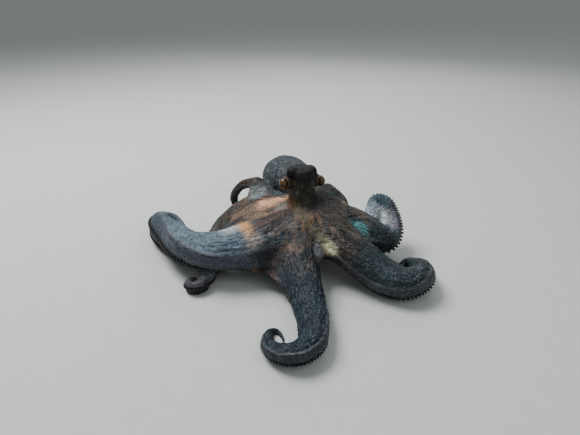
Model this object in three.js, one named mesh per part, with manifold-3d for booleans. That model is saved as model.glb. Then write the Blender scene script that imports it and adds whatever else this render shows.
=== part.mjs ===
// A common octopus, life size, crawling with its head raised over the tent of its web.
// Millimetres, +Z up. Places are measured from the point on the floor under the crown, where the
// eight arms meet; -Y is the side the animal crawls towards and -X is its right-hand side. The
// finished group is then shifted so that its origin is the middle of its footprint.
// Every piece of flesh is a closed loft of rings. Neighbours are cut back to leave a thin gap, and
// what reaches the floor is cut flat at floor level.
import * as THREE from "three";
import { mergeVertices } from "three/addons/utils/BufferGeometryUtils.js";
import Module from "manifold-3d";

const wasm = await Module();
wasm.setup();

// ---------------------------------------------------------------- driving dimensions

const GAP = 0.35; // clearance left between neighbouring pieces
const SINK = 1.2; // how far an arm would dip under the floor before it is cut flat
const RING_STEP = 22; // spacing of the rings along an arm
const RING_SIDES = 12; // points round an arm's section
const SECTION_POWER = 2.3; // roundness of a section: 2 is an ellipse, more is squarer
const ARM_DEPTH = 0.85; // half height of an arm's section over its half width
const ROOT_SHARE = 0.62; // width of an arm at the crown over its full width
const ROOT_LENGTH = 60; // length over which it swells to the full width
const TIP_HALF_WIDTH = 1.6;
const CURVE_DIVISIONS = 400; // fineness of the lengths read along a centreline
const ARM_CUTS = [0, 0.27, 0.52, 0.77, 1]; // where an arm is divided, as shares of its length
const ARM_LENGTH_NAMES = ["base", "middle", "outer", "tip"];
const WEB_THICKNESS = 3;
const WEB_MARGIN = 0.02; // share of an arm at which its web starts, and of a web kept off the arms
const FLOOR_BLOCK_SIZE = [1200, 1200, 100];

// An arm: half width at its fullest, two shape numbers of its taper, and the knots of its
// centreline. A knot is x, y, the lift of its underside over the floor, and the roll in degrees
// of its back towards the right of its heading.
const ARMS = {
  right_1: {
    wide: 18, hold: 6, fade: 2.0,
    knots: [
      [-2, -30, 46, 0], [-3, -70, 26, 4], [0, -100, 11, 12], [5, -132, 1, 22], [8, -168, 0, 34],
      [5, -194, 0, 44], [-8, -207, 0, 46], [-26, -208, 0, 46], [-40, -197, 0, 50],
      [-44, -180, 0, 58], [-41, -166, 0, 64], [-34, -163, 0, 64], [-28, -171, 0, 60],
      [-26, -178, 0, 56],
    ],
  },
  right_2: {
    wide: 27.5, hold: 6, fade: 3,
    knots: [
      [-24, -22, 40, 0], [-54, -42, 30, 0], [-86, -51, 19, 2], [-120, -55, 15, 6],
      [-156, -39, 9, 26], [-191, 5, 0, 58], [-217, 37, 0, 80], [-232, 72, 0, 92], [-232, 99, 0, 96],
      [-219, 107, 0, 96], [-203, 95, 0, 90], [-188, 70, 0, 80],
    ],
  },
  right_3: {
    wide: 21, hold: 1.5, fade: 0.6,
    knots: [
      [-32, 12, 44, 0], [-68, 30, 34, 0], [-100, 44, 20, 6], [-120, 34, 6, 8], [-128, 8, 0, 4],
      [-131, -26, 0, 4], [-130, -68, 0, 36], [-135, -88, 0, 72], [-146, -90, 0, 76],
      [-153, -80, 0, 66], [-149, -69, 0, 50], [-140, -69, 0, 40],
    ],
  },
  right_4: {
    wide: 15, hold: 0.75, fade: 1,
    knots: [
      [-22, 30, 44, 0], [-42, 52, 42, 0], [-53, 66, 46, 0], [-62, 74, 62, 0], [-75, 84, 70, 0],
      [-91, 92, 67, 0], [-104, 98, 56, 0], [-112, 104, 38, 0], [-109, 111, 15, 0], [-97, 119, 0, 0],
      [-79, 121, 0, 0], [-68, 131, 0, 0], [-75, 143, 0, 0], [-86, 139, 0, 0],
    ],
  },
  left_4: {
    wide: 21, hold: 2, fade: 0.9,
    knots: [
      [2, 34, 42, 0], [2, 66, 16, 0], [0, 104, 3, 0], [-8, 144, 0, 4], [-12, 184, 0, 10],
      [-2, 216, 0, 18], [18, 226, 0, 22], [30, 214, 0, 20], [26, 200, 0, 14],
    ],
  },
  left_3: {
    wide: 22, hold: 2, fade: 0.9,
    knots: [
      [19, 28, 57, 0], [32, 45, 59, 0], [45, 63, 40, 0], [60, 90, 10, 0], [60, 118, 0, 6],
      [44, 136, 0, 14], [27, 128, 0, 20], [28, 111, 0, 20], [38, 106, 0, 14],
    ],
  },
  left_2: {
    wide: 25.5, hold: 2.6, fade: 1.25,
    knots: [
      [30, 2, 46, 0], [58, -4, 38, 0], [80, -9, 29, -8], [100, -12, 17, -18], [117, -7, 10, -38],
      [128, 7, 15, -66], [130, 25, 33, -92], [124, 39, 53, -108], [111, 43, 61, -114],
      [100, 35, 56, -112], [100, 24, 49, -108], [107, 19, 46, -104],
    ],
  },
  left_1: {
    wide: 25.5, hold: 4.5, fade: 1.8,
    knots: [
      [16, -26, 44, 0], [45, -50, 32, 0], [73, -68, 15, 0], [100, -85, 2, -2], [125, -96, 0, -14],
      [147, -88, 0, -48], [158, -66, 0, -92], [157, -42, 0, -116], [148, -29, 0, -122],
      [139, -34, 0, -120], [142, -43, 0, -110], [152, -42, 0, -100],
    ],
  },
};

// Pairs of neighbouring arms that a panel of web joins: how far the web reaches along each arm,
// as a share of its length, how much its free edge is drawn in at the middle, its sag, and how
// high it sits on the arms at the crown and at its free edge, in half depths over their middles.
const WEBS = {
  web_dorsal: {
    from: "right_1", to: "left_1", reach: [0.3, 0.32], scallop: 0.5, sag: 4, rise: [0.7, 0],
  },
  web_left_1_2: {
    from: "left_1", to: "left_2", reach: [0.46, 0.48], scallop: 0.3, sag: 6, rise: [0.8, 0.1],
  },
  web_left_2_3: {
    from: "left_2", to: "left_3", reach: [0.48, 0.42], scallop: 0.25, sag: 3, rise: [0.8, 0.5],
  },
  web_left_3_4: {
    from: "left_3", to: "left_4", reach: [0.36, 0.34], scallop: 0.35, sag: 4, rise: [0.6, 0.2],
  },
  web_ventral: {
    from: "left_4", to: "right_4", reach: [0.3, 0.3], scallop: 0.35, sag: 4, rise: [0.5, 0],
  },
  web_right_3_4: {
    from: "right_4", to: "right_3", reach: [0.32, 0.36], scallop: 0.1, sag: -4, rise: [0.85, 0.6],
  },
  web_right_2_3: {
    from: "right_3", to: "right_2", reach: [0.36, 0.33], scallop: 0.12, sag: 1, rise: [0.85, 0.6],
  },
  web_right_1_2: {
    from: "right_2", to: "right_1", reach: [0.42, 0.5], scallop: 0.42, sag: 4, rise: [0.7, -0.1],
  },
};
const WEB_ROWS = 5;
const WEB_COLUMNS = 6;

// The crown, a rounded block that carries the arms round the mouth: height, half width.
const CROWN_CENTRE = [0, 4];
const CROWN_PROFILE = [[24, 14], [27, 27], [38, 35], [54, 37], [68, 34], [79, 27], [80.6, 20]];
const SHOULDER_CENTRE = [-34, 38, 63];
const SHOULDER_SIZE = [24, 19, 14];
const SHOULDER_SEGMENTS = [12, 6];

// The head stands on the crown and faces a little to the animal's left.
const HEAD_YAW = THREE.MathUtils.degToRad(18);
const HEAD_ROLL = THREE.MathUtils.degToRad(3);
const HEAD_AXIS = [[-1, 6, 81], [-3, 16, 135]]; // foot and top
// share of the height, half width across the eyes, half depth from brow to nape
const HEAD_PROFILE = [
  [0, 20, 21], [0.12, 20, 22], [0.35, 17.6, 22], [0.55, 17, 22], [0.75, 17.2, 21],
  [0.9, 16.5, 18], [0.97, 12, 13], [1, 6, 7],
];
const EYE_RADIUS = 7.8;
const EYE_FLATTENING = 0.82; // along the line through both eyes
const EYE_OUT = 27; // centre of an eye from the middle of the head
const EYE_HEIGHT = 113;
const MOUND_OUT = 19; // centre of the mound of flesh that carries an eye
const MOUND_SIZE = [9.2, 9.2, 9.2];
const MOUND_BACK = 6.5; // how far the mound lies behind the eye
const BROW_OUT = 13;
const BROW_SIZE = [8, 9.4, 7.6]; // half sizes of the skin horn over each eye
const BROW_HEIGHT = 128;

// The mantle, the bag of the body, trails behind the head: its axis from nape to end.
const MANTLE_AXIS = [[-4, 34, 96], [-18, 84, 86], [-40, 158, 70]];
// share of the length, half width, half height
const MANTLE_PROFILE = [
  [0, 15, 14], [0.12, 21, 20], [0.28, 30, 28], [0.45, 36, 33], [0.6, 38, 34], [0.75, 35, 30],
  [0.88, 26, 22], [0.96, 14, 12], [1, 5, 4],
];
const MANTLE_SIDES = 16;
const COLUMN_SIDES = 18; // points round the head and the crown

// The siphon, a tapered tube under the nape, open at its end.
const SIPHON_PATH = [[-2, 36, 76], [0, 52, 62], [6, 66, 50]];
const SIPHON_OUTER = [9, 8, 6];
const SIPHON_BORE = 3.4;
const SIPHON_BORE_DEPTH = 14;
const SIPHON_SIDES = 14;
const SIPHON_BORE_SIDES = 10;
const SIPHON_ROWS = 3; // rings between one point of the path and the next

const COLOURS = {
  arm: [0x6f747b, 0.55],
  web: [0x6b5a4c, 0.55],
  crown: [0x6a5b50, 0.55],
  head: [0x3e3833, 0.5],
  brow: [0x2a2624, 0.5],
  mantle: [0x8b8f92, 0.55],
  siphon: [0x9a8f86, 0.5],
  eye: [0xb8791c, 0.15],
};

// ---------------------------------------------------------------- solids and meshes

const octopus = new THREE.Group();
const finished = new Map(); // node name -> solid, in the order they are made

/** A point from an array of three numbers. */
const point = (values) => new THREE.Vector3(...values);

/** 0 below the first bound, 1 above the second, and a smooth rise between them. */
const rise = (value, from, to) => THREE.MathUtils.smoothstep(value, from, to);

/** The value of a table of rows at x, by straight lines; column 0 holds x. */
function readTable(rows, x, column) {
  const next = rows.findIndex((row) => row[0] >= x);
  if (next <= 0) return rows[next < 0 ? rows.length - 1 : 0][column];
  const [low, high] = [rows[next - 1], rows[next]];
  return THREE.MathUtils.mapLinear(x, low[0], high[0], low[column], high[column]);
}

/** A closed mesh through a row of rings with equally many points, fanned shut at both ends. */
function loft(rings) {
  const sides = rings[0].length;
  const middle = (ring) =>
    ring.reduce((sum, p) => sum.add(p), new THREE.Vector3()).divideScalar(sides);
  const points = [...rings.flat(), middle(rings[0]), middle(rings.at(-1))];
  const [startCentre, endCentre] = [points.length - 2, points.length - 1];
  const faces = [];
  for (let row = 0; row < rings.length; row++) {
    for (let k = 0; k < sides; k++) {
      const here = row * sides + k;
      const beside = row * sides + ((k + 1) % sides);
      if (row === 0) faces.push(startCentre, beside, here);
      if (row === rings.length - 1) faces.push(endCentre, here, beside);
      else faces.push(here, beside, beside + sides, here, beside + sides, here + sides);
    }
  }
  return new THREE.BufferGeometry().setFromPoints(points).setIndex(faces);
}

/** A geometry as a solid that can be cut and joined. */
function toSolid(geometry) {
  const bare = geometry.clone();
  bare.deleteAttribute("normal");
  bare.deleteAttribute("uv");
  const merged = mergeVertices(bare, 1e-3);
  const solid = new wasm.Manifold(
    new wasm.Mesh({
      numProp: 3,
      vertProperties: merged.attributes.position.array,
      triVerts: new Uint32Array(merged.index.array),
    }),
  );
  return solid;
}

/** A solid back as a geometry. */
function toGeometry(solid) {
  const mesh = solid.getMesh();
  const geometry = new THREE.BufferGeometry();
  geometry.setAttribute("position", new THREE.BufferAttribute(mesh.vertProperties, 3));
  geometry.setIndex(new THREE.BufferAttribute(mesh.triVerts, 1));
  geometry.computeVertexNormals();
  return geometry;
}

/** The largest of the bodies of a solid, which drops the crumbs that a cut can leave. */
function largest(solid) {
  return solid.decompose().reduce((best, body) => (body.volume() > best.volume() ? body : best));
}

/** Whether the boxes round two solids meet. */
function near(a, b) {
  const [p, q] = [a.boundingBox(), b.boundingBox()];
  return [0, 1, 2].every((axis) => p.min[axis] < q.max[axis] && q.min[axis] < p.max[axis]);
}

/** The solid less every cutter that comes near it. */
function carve(solid, cutters) {
  const close = cutters.filter((cutter) => near(solid, cutter));
  return close.reduce((left, cutter) => left.subtract(cutter), solid);
}

const FLOOR_BLOCK = toSolid(
  new THREE.BoxGeometry(...FLOOR_BLOCK_SIZE).translate(0, 0, -FLOOR_BLOCK_SIZE[2] / 2),
);

/** Files a finished solid under its node's name. */
function finish(name, solid, kind) {
  finished.set(name, { solid: largest(carve(solid, [FLOOR_BLOCK])), kind });
}

// ---------------------------------------------------------------- arms

/** Half width of an arm at a share of its length. */
function halfWidth(arm, share) {
  const root = THREE.MathUtils.lerp(ROOT_SHARE, 1, rise(share * arm.length, 0, ROOT_LENGTH));
  return TIP_HALF_WIDTH + arm.wide * root * (1 - share ** arm.hold) ** arm.fade;
}

/** How far a rolled section reaches under its centre. */
function reachDown(across, deep, roll) {
  return Math.hypot(across * Math.sin(roll), deep * Math.cos(roll));
}

/** Works out an arm's centreline and the roll along it. */
function plan(arm) {
  const flat = new THREE.CatmullRomCurve3(arm.knots.map(([x, y]) => new THREE.Vector3(x, y, 0)));
  arm.length = flat.getLength();
  const shares = arm.knots.map((knot, k) => lengthTo(flat, k / (arm.knots.length - 1)));
  arm.rolls = arm.knots.map((knot, k) => [shares[k], THREE.MathUtils.degToRad(knot[3])]);
  arm.centreline = new THREE.CatmullRomCurve3(
    arm.knots.map(([x, y, lift], k) => {
      const across = halfWidth(arm, shares[k]);
      const down = reachDown(across, across * ARM_DEPTH, arm.rolls[k][1]);
      return new THREE.Vector3(x, y, lift + down - (lift < SINK ? SINK - lift : 0));
    }),
  );
  arm.centreline.arcLengthDivisions = CURVE_DIVISIONS;
  arm.length = arm.centreline.getLength();
}

/** Share of a curve's length that lies before its parameter t. */
function lengthTo(curve, t) {
  const lengths = curve.getLengths(CURVE_DIVISIONS);
  return lengths[Math.round(t * CURVE_DIVISIONS)] / lengths[CURVE_DIVISIONS];
}

/** One ring of an arm's section at a share of its length, swollen by an allowance. */
function armRing(arm, share, allowance) {
  const centre = arm.centreline.getPointAt(share);
  const heading = arm.centreline.getTangentAt(share);
  const back = new THREE.Vector3(0, 0, 1).addScaledVector(heading, -heading.z).normalize();
  const side = new THREE.Vector3().crossVectors(back, heading);
  const roll = readTable(arm.rolls, share, 1);
  back.applyAxisAngle(heading, roll);
  side.applyAxisAngle(heading, roll);
  const across = halfWidth(arm, share) + allowance;
  const deep = halfWidth(arm, share) * ARM_DEPTH + allowance;
  return Array.from({ length: RING_SIDES }, (_, k) => {
    const angle = (k / RING_SIDES) * 2 * Math.PI;
    const squared = (value) => Math.sign(value) * Math.abs(value) ** (2 / SECTION_POWER);
    return centre
      .clone()
      .addScaledVector(side, across * squared(Math.cos(angle)))
      .addScaledVector(back, deep * squared(Math.sin(angle)));
  });
}

/** The stretch of an arm between two shares of its length, swollen all over by an allowance. */
function armStretch(arm, from, to, allowance = 0) {
  const steps = Math.max(2, Math.ceil(((to - from) * arm.length) / RING_STEP));
  const rings = Array.from({ length: steps + 1 }, (_, k) =>
    armRing(arm, THREE.MathUtils.lerp(from, to, k / steps), allowance),
  );
  if (allowance > 0) {
    const pushed = (ring, share, by) =>
      ring.map((p) => p.clone().addScaledVector(arm.centreline.getTangentAt(share), by));
    rings.unshift(pushed(rings[0], from, -allowance));
    rings.push(pushed(rings.at(-1), to, allowance));
  }
  return toSolid(loft(rings));
}

/** Builds every arm in its lengths, each clear of the crown, earlier arms and its own bends. */
function buildArms(cutters) {
  const taken = [];
  for (const [name, arm] of Object.entries(ARMS)) {
    const own = [];
    ARM_LENGTH_NAMES.forEach((part, k) => {
      const from = ARM_CUTS[k] + (k > 0 ? GAP / arm.length : 0);
      const stretch = armStretch(arm, from, ARM_CUTS[k + 1]);
      const crossed = own.filter(({ slim }) => slim.intersect(stretch).volume() > 0);
      const inTheWay = [...cutters, ...taken, ...crossed.map(({ fat }) => fat)];
      finish(`arm_${name}_${part}`, carve(stretch, inTheWay), "arm");
      own.push({ slim: stretch, fat: armStretch(arm, from, ARM_CUTS[k + 1], GAP) });
    });
    taken.push(...own.map(({ fat }) => fat));
  }
  return taken;
}

// ---------------------------------------------------------------- web

/** A point of a web panel: out is 0 at the crown and 1 at the free edge, over runs arm to arm. */
function webPoint(web, out, over) {
  const drawnIn = 1 - web.scallop * 4 * over * (1 - over);
  const rise = ARM_DEPTH * THREE.MathUtils.lerp(web.rise[0], web.rise[1], out);
  const ends = [web.from, web.to].map((name, k) => {
    const share = WEB_MARGIN + (web.reach[k] - WEB_MARGIN) * out * drawnIn;
    const end = ARMS[name].centreline.getPointAt(share);
    return end.setZ(end.z + rise * halfWidth(ARMS[name], share));
  });
  const spot = ends[0].clone().lerp(ends[1], over);
  spot.z -= web.sag * 4 * over * (1 - over) * out;
  return spot;
}

/** A thin closed panel of web between two arms. */
function webPanel(web) {
  const rings = Array.from({ length: WEB_COLUMNS + 1 }, (_, column) => {
    const over = THREE.MathUtils.lerp(WEB_MARGIN, 1 - WEB_MARGIN, column / WEB_COLUMNS);
    const line = Array.from({ length: WEB_ROWS }, (_, row) => webPoint(web, row / (WEB_ROWS - 1), over));
    const lift = (p, by) => p.clone().setZ(p.z + by);
    const top = line.map((p) => lift(p, WEB_THICKNESS / 2));
    const under = line.map((p) => lift(p, -WEB_THICKNESS / 2)).reverse();
    return [...top, ...under];
  });
  const solid = toSolid(loft(rings));
  return solid.volume() > 0 ? solid : toSolid(loft(rings.reverse()));
}

// ---------------------------------------------------------------- head, mantle and siphon

/** A level ellipse of points, turned about the upright. */
function levelRing(centre, across, deep, yaw, sides) {
  return Array.from({ length: sides }, (_, k) => {
    const angle = (k / sides) * 2 * Math.PI;
    return new THREE.Vector3(across * Math.cos(angle), deep * Math.sin(angle), 0)
      .applyAxisAngle(new THREE.Vector3(0, 0, 1), yaw)
      .add(centre);
  });
}

/** The crown that joins the arms, with the shoulder of web behind it on the right. */
function crown(allowance = 0) {
  const rings = CROWN_PROFILE.map(([height, half], k) => {
    const grow = k === 0 || k === CROWN_PROFILE.length - 1 ? 0 : allowance;
    const centre = point([...CROWN_CENTRE, height + (k === 0 ? -allowance : 0)]);
    return levelRing(centre, half + grow, half + grow, 0, COLUMN_SIDES);
  });
  const shoulder = ball(point(SHOULDER_CENTRE), SHOULDER_SIZE, allowance, SHOULDER_SEGMENTS);
  return toSolid(loft(rings)).add(shoulder);
}

/** The head, a rounded column with a mound for each eye. */
function head(allowance = 0) {
  const [foot, top] = HEAD_AXIS.map(point);
  const rings = HEAD_PROFILE.map(([share, across, deep]) => {
    const centre = foot.clone().lerp(top, share);
    centre.z += share === 1 ? allowance : 0;
    return levelRing(centre, across + allowance, deep + allowance, HEAD_YAW, COLUMN_SIDES);
  });
  const mounds = [-1, 1].map((side) => {
    const behind = new THREE.Vector3(-Math.sin(HEAD_YAW), Math.cos(HEAD_YAW), 0);
    const centre = headPlace(side * MOUND_OUT, EYE_HEIGHT).addScaledVector(behind, MOUND_BACK);
    return ball(centre, MOUND_SIZE, allowance, [12, 8]);
  });
  return mounds.reduce((whole, mound) => whole.add(mound), toSolid(loft(rings)));
}

/** A place on the head: out towards the animal's left (plus) or right (minus), and a height. */
function headPlace(out, height) {
  const [foot, top] = HEAD_AXIS.map(point);
  const middle = foot.clone().lerp(top, (height - foot.z) / (top.z - foot.z));
  const sideways = new THREE.Vector3(out * Math.cos(HEAD_YAW), out * Math.sin(HEAD_YAW), 0);
  return middle.add(sideways).setZ(height - out * Math.sin(HEAD_ROLL));
}

/** A ball with three half sizes, turned with the head. */
function ball(centre, halves, allowance = 0, [around, down] = [14, 8]) {
  const [x, y, z] = halves.map((half) => half + allowance);
  const geometry = new THREE.SphereGeometry(1, around, down).rotateX(Math.PI / 2);
  return toSolid(geometry.scale(x, y, z).rotateZ(HEAD_YAW).translate(...centre.toArray()));
}

/** An eye on the given side: -1 is the animal's right and 1 its left. */
function eye(side, allowance = 0) {
  const halves = [EYE_RADIUS * EYE_FLATTENING, EYE_RADIUS, EYE_RADIUS];
  return ball(headPlace(side * EYE_OUT, EYE_HEIGHT), halves, allowance);
}

/** The horn of skin over an eye. */
function brow(side, allowance = 0) {
  return ball(headPlace(side * BROW_OUT, BROW_HEIGHT), BROW_SIZE, allowance, [12, 8]);
}

/** The mantle. */
function mantle(allowance = 0) {
  const axis = new THREE.CatmullRomCurve3(MANTLE_AXIS.map(point));
  const rings = MANTLE_PROFILE.map(([share, across, high]) => {
    const centre = axis.getPointAt(share);
    const heading = axis.getTangentAt(share);
    const up = new THREE.Vector3(0, 0, 1).addScaledVector(heading, -heading.z).normalize();
    const side = new THREE.Vector3().crossVectors(up, heading);
    return Array.from({ length: MANTLE_SIDES }, (_, k) => {
      const angle = (k / MANTLE_SIDES) * 2 * Math.PI;
      return centre
        .clone()
        .addScaledVector(side, (across + allowance) * Math.cos(angle))
        .addScaledVector(up, (high + allowance) * Math.sin(angle));
    });
  });
  return toSolid(loft(rings));
}

/** A round tube along a path with a half width at each of its points. */
function roundTube(path, halves, sides) {
  const axis = new THREE.CatmullRomCurve3(path.map(point));
  const steps = (path.length - 1) * SIPHON_ROWS;
  const table = halves.map((half, k) => [k / (halves.length - 1), half]);
  const rings = Array.from({ length: steps + 1 }, (_, row) => {
    const share = row / steps;
    const heading = axis.getTangentAt(share);
    const up = new THREE.Vector3(0, 0, 1).addScaledVector(heading, -heading.z).normalize();
    const side = new THREE.Vector3().crossVectors(up, heading);
    const half = readTable(table, share, 1);
    return Array.from({ length: sides }, (_, k) => {
      const angle = (k / sides) * 2 * Math.PI;
      return axis
        .getPointAt(share)
        .addScaledVector(side, half * Math.cos(angle))
        .addScaledVector(up, half * Math.sin(angle));
    });
  });
  return toSolid(loft(rings));
}

/** The siphon with its bore. */
function siphon() {
  const axis = new THREE.CatmullRomCurve3(SIPHON_PATH.map(point));
  const length = axis.getLength();
  const inside = axis.getPointAt(1 - SIPHON_BORE_DEPTH / length);
  const outside = axis.getPointAt(1).addScaledVector(axis.getTangentAt(1), 2);
  const borePath = [inside.toArray(), outside.toArray()];
  const bore = roundTube(borePath, [SIPHON_BORE, SIPHON_BORE], SIPHON_BORE_SIDES);
  return roundTube(SIPHON_PATH, SIPHON_OUTER, SIPHON_SIDES).subtract(bore);
}

// ---------------------------------------------------------------- assembly

Object.values(ARMS).forEach(plan);

const SIDES = { right: -1, left: 1 };
const fatEyes = Object.values(SIDES).map((side) => eye(side, GAP));
const fatBrows = Object.values(SIDES).map((side) => brow(side, GAP));
const fatHead = head(GAP);
const fatCrown = crown(GAP);
const fatMantle = mantle(GAP);

for (const [name, side] of Object.entries(SIDES)) {
  finish(`eye_${name}`, eye(side), "eye");
  finish(`brow_${name}`, carve(brow(side), fatEyes), "brow");
}
finish("head", carve(head(), [...fatEyes, ...fatBrows]), "head");
finish("crown", carve(crown(), [fatHead]), "crown");
finish("mantle", carve(mantle(), [fatHead, ...fatEyes, ...fatBrows]), "mantle");
finish("siphon", carve(siphon(), [fatHead, fatMantle, fatCrown]), "siphon");
const fatSiphon = roundTube(SIPHON_PATH, SIPHON_OUTER.map((half) => half + GAP), SIPHON_SIDES);
const core = [fatHead, fatCrown, fatMantle, fatSiphon];
const fatArms = buildArms(core);
for (const [name, web] of Object.entries(WEBS)) {
  finish(name, carve(webPanel(web), [...core, ...fatArms]), "web");
}

const footprint = new THREE.Box3();
for (const [name, { solid, kind }] of finished) {
  const [colour, roughness] = COLOURS[kind];
  const material = new THREE.MeshStandardMaterial({ color: colour, roughness, metalness: 0 });
  const mesh = new THREE.Mesh(toGeometry(solid), material);
  mesh.name = name;
  octopus.add(mesh);
  footprint.expandByObject(mesh);
}
const middle = footprint.getCenter(new THREE.Vector3());
octopus.position.set(-middle.x, -middle.y, 0);

export default octopus;
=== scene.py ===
"""A life-size common octopus crawling over the floor with its head raised, as a museum model.

The flesh is one skin. Arms, web, crown, head, mantle and siphon are lofted, turned into distance
fields, melted into each other and meshed again, then creased and pitted. Suckers and eyes are
pieces of their own. Lengths are in millimetres from the point on the floor under the crown, and
become metres in the shared frame when a mesh is made.
"""

import logging
import math
from dataclasses import dataclass, field
from enum import Enum
from typing import Iterable, Sequence

import bpy
import numpy as np
import openvdb as vdb
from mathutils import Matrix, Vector


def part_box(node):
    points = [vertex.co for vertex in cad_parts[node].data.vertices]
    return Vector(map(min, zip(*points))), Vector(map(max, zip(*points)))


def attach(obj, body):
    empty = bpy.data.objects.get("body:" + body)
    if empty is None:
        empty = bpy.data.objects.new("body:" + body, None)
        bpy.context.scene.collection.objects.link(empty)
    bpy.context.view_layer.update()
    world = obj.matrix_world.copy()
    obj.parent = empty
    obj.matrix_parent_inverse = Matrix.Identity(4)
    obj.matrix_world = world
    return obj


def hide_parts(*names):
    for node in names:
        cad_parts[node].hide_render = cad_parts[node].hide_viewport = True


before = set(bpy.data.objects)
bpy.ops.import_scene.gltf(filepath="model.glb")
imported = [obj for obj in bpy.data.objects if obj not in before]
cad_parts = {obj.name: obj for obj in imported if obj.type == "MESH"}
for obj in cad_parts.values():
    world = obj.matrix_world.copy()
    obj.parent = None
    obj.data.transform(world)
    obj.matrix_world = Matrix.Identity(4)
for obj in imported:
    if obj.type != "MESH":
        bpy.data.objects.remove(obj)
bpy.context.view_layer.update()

Array = np.ndarray
Node = bpy.types.Node
Socket = bpy.types.NodeSocket
Place = tuple[float, float, float]
Colour = tuple[int, int, int]

logger = logging.getLogger("octopus")

MM = 0.001  # metres in a millimetre
BODY = "root"
UP = np.array([0.0, 0.0, 1.0])

# The middle of the crown, and the lowest places of the skin and the suckers over the floor.
CROWN_MIDDLE = (0.0, 4.0)
SOLE_CUT = 0.35
SKIN_FLOOR = 0.3
SUCKER_FLOOR = 0.15

# The frame of the arms, the same as in the solids.
SINK = 1.2
SECTION_POWER = 2.3
ARM_DEPTH = 0.85
ROOT_SHARE = 0.62
ROOT_LENGTH = 60.0
TIP_HALF_WIDTH = 1.6

# The head's own directions and places.
HEAD_YAW = math.radians(18)
HEAD_ROLL = math.radians(3)
HEAD_FOOT = np.array([-1.0, 6.0, 81.0])
HEAD_TOP = np.array([-3.0, 16.0, 135.0])
EYE_OUT = 27.0
EYE_HEIGHT = 113.0
EYE_HALVES = np.array([6.4, 7.8, 7.8])


class Side(Enum):
    """The animal's own right and left, as the sign of its sideways direction."""

    RIGHT = -1
    LEFT = 1


class Stored(Enum):
    """Values that a mesh keeps for its material: Blender's name of the kind, and of its field."""

    COLOUR = ("FLOAT_COLOR", "color")
    NUMBER = ("FLOAT", "value")
    VECTOR = ("FLOAT_VECTOR", "vector")


class Fineness(Enum):
    """Edge of a cell of the distance field, in millimetres."""

    DRAFT = 2.0
    FINAL = 1.1


# ------------------------------------------------------------------ small mathematics


def smooth_rise(value: Array, low: float, high: float) -> Array:
    """Rise smoothly from 0 at low to 1 at high.

    Args:
        value: Numbers to map.
        low: Where the rise starts.
        high: Where the rise ends; it may be under low for a fall.

    Returns:
        Numbers from 0 to 1.
    """
    share = np.clip((np.asarray(value, float) - low) / (high - low), 0.0, 1.0)
    return share * share * (3.0 - 2.0 * share)


def unit(vectors: Array) -> Array:
    """Return vectors scaled to length 1 along their last axis."""
    return vectors / np.maximum(np.linalg.norm(vectors, axis=-1, keepdims=True), 1e-9)


def full_turn(count: int) -> Array:
    """Return evenly spaced angles round a full turn, in radians."""
    return np.linspace(0, 2 * np.pi, count, endpoint=False)


def turn_about(vectors: Array, axes: Array, angles: Array) -> Array:
    """Turn vectors about unit axes by the right-hand rule.

    Args:
        vectors: Rows of vectors.
        axes: A unit axis for each row.
        angles: An angle in radians for each row.

    Returns:
        The turned rows.
    """
    cos, sin = np.cos(angles)[:, None], np.sin(angles)[:, None]
    along = np.sum(vectors * axes, axis=1, keepdims=True)
    return vectors * cos + np.cross(axes, vectors) * sin + axes * along * (1 - cos)


def head_place(out: float, height: float) -> Array:
    """Find a place on the head.

    Args:
        out: Distance from its middle, plus towards the animal's left.
        height: Height over the floor.

    Returns:
        The place in millimetres.
    """
    share = (height - HEAD_FOOT[2]) / (HEAD_TOP[2] - HEAD_FOOT[2])
    middle = HEAD_FOOT + (HEAD_TOP - HEAD_FOOT) * share
    sideways = out * np.array([math.cos(HEAD_YAW), math.sin(HEAD_YAW), 0.0])
    place = middle + sideways
    place[2] = height - out * math.sin(HEAD_ROLL)
    return place


def from_eye(points: Array, side: Side) -> Array:
    """Return how far points are from the middle of an eye."""
    return np.linalg.norm(points - head_place(side.value * EYE_OUT, EYE_HEIGHT), axis=1)


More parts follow.
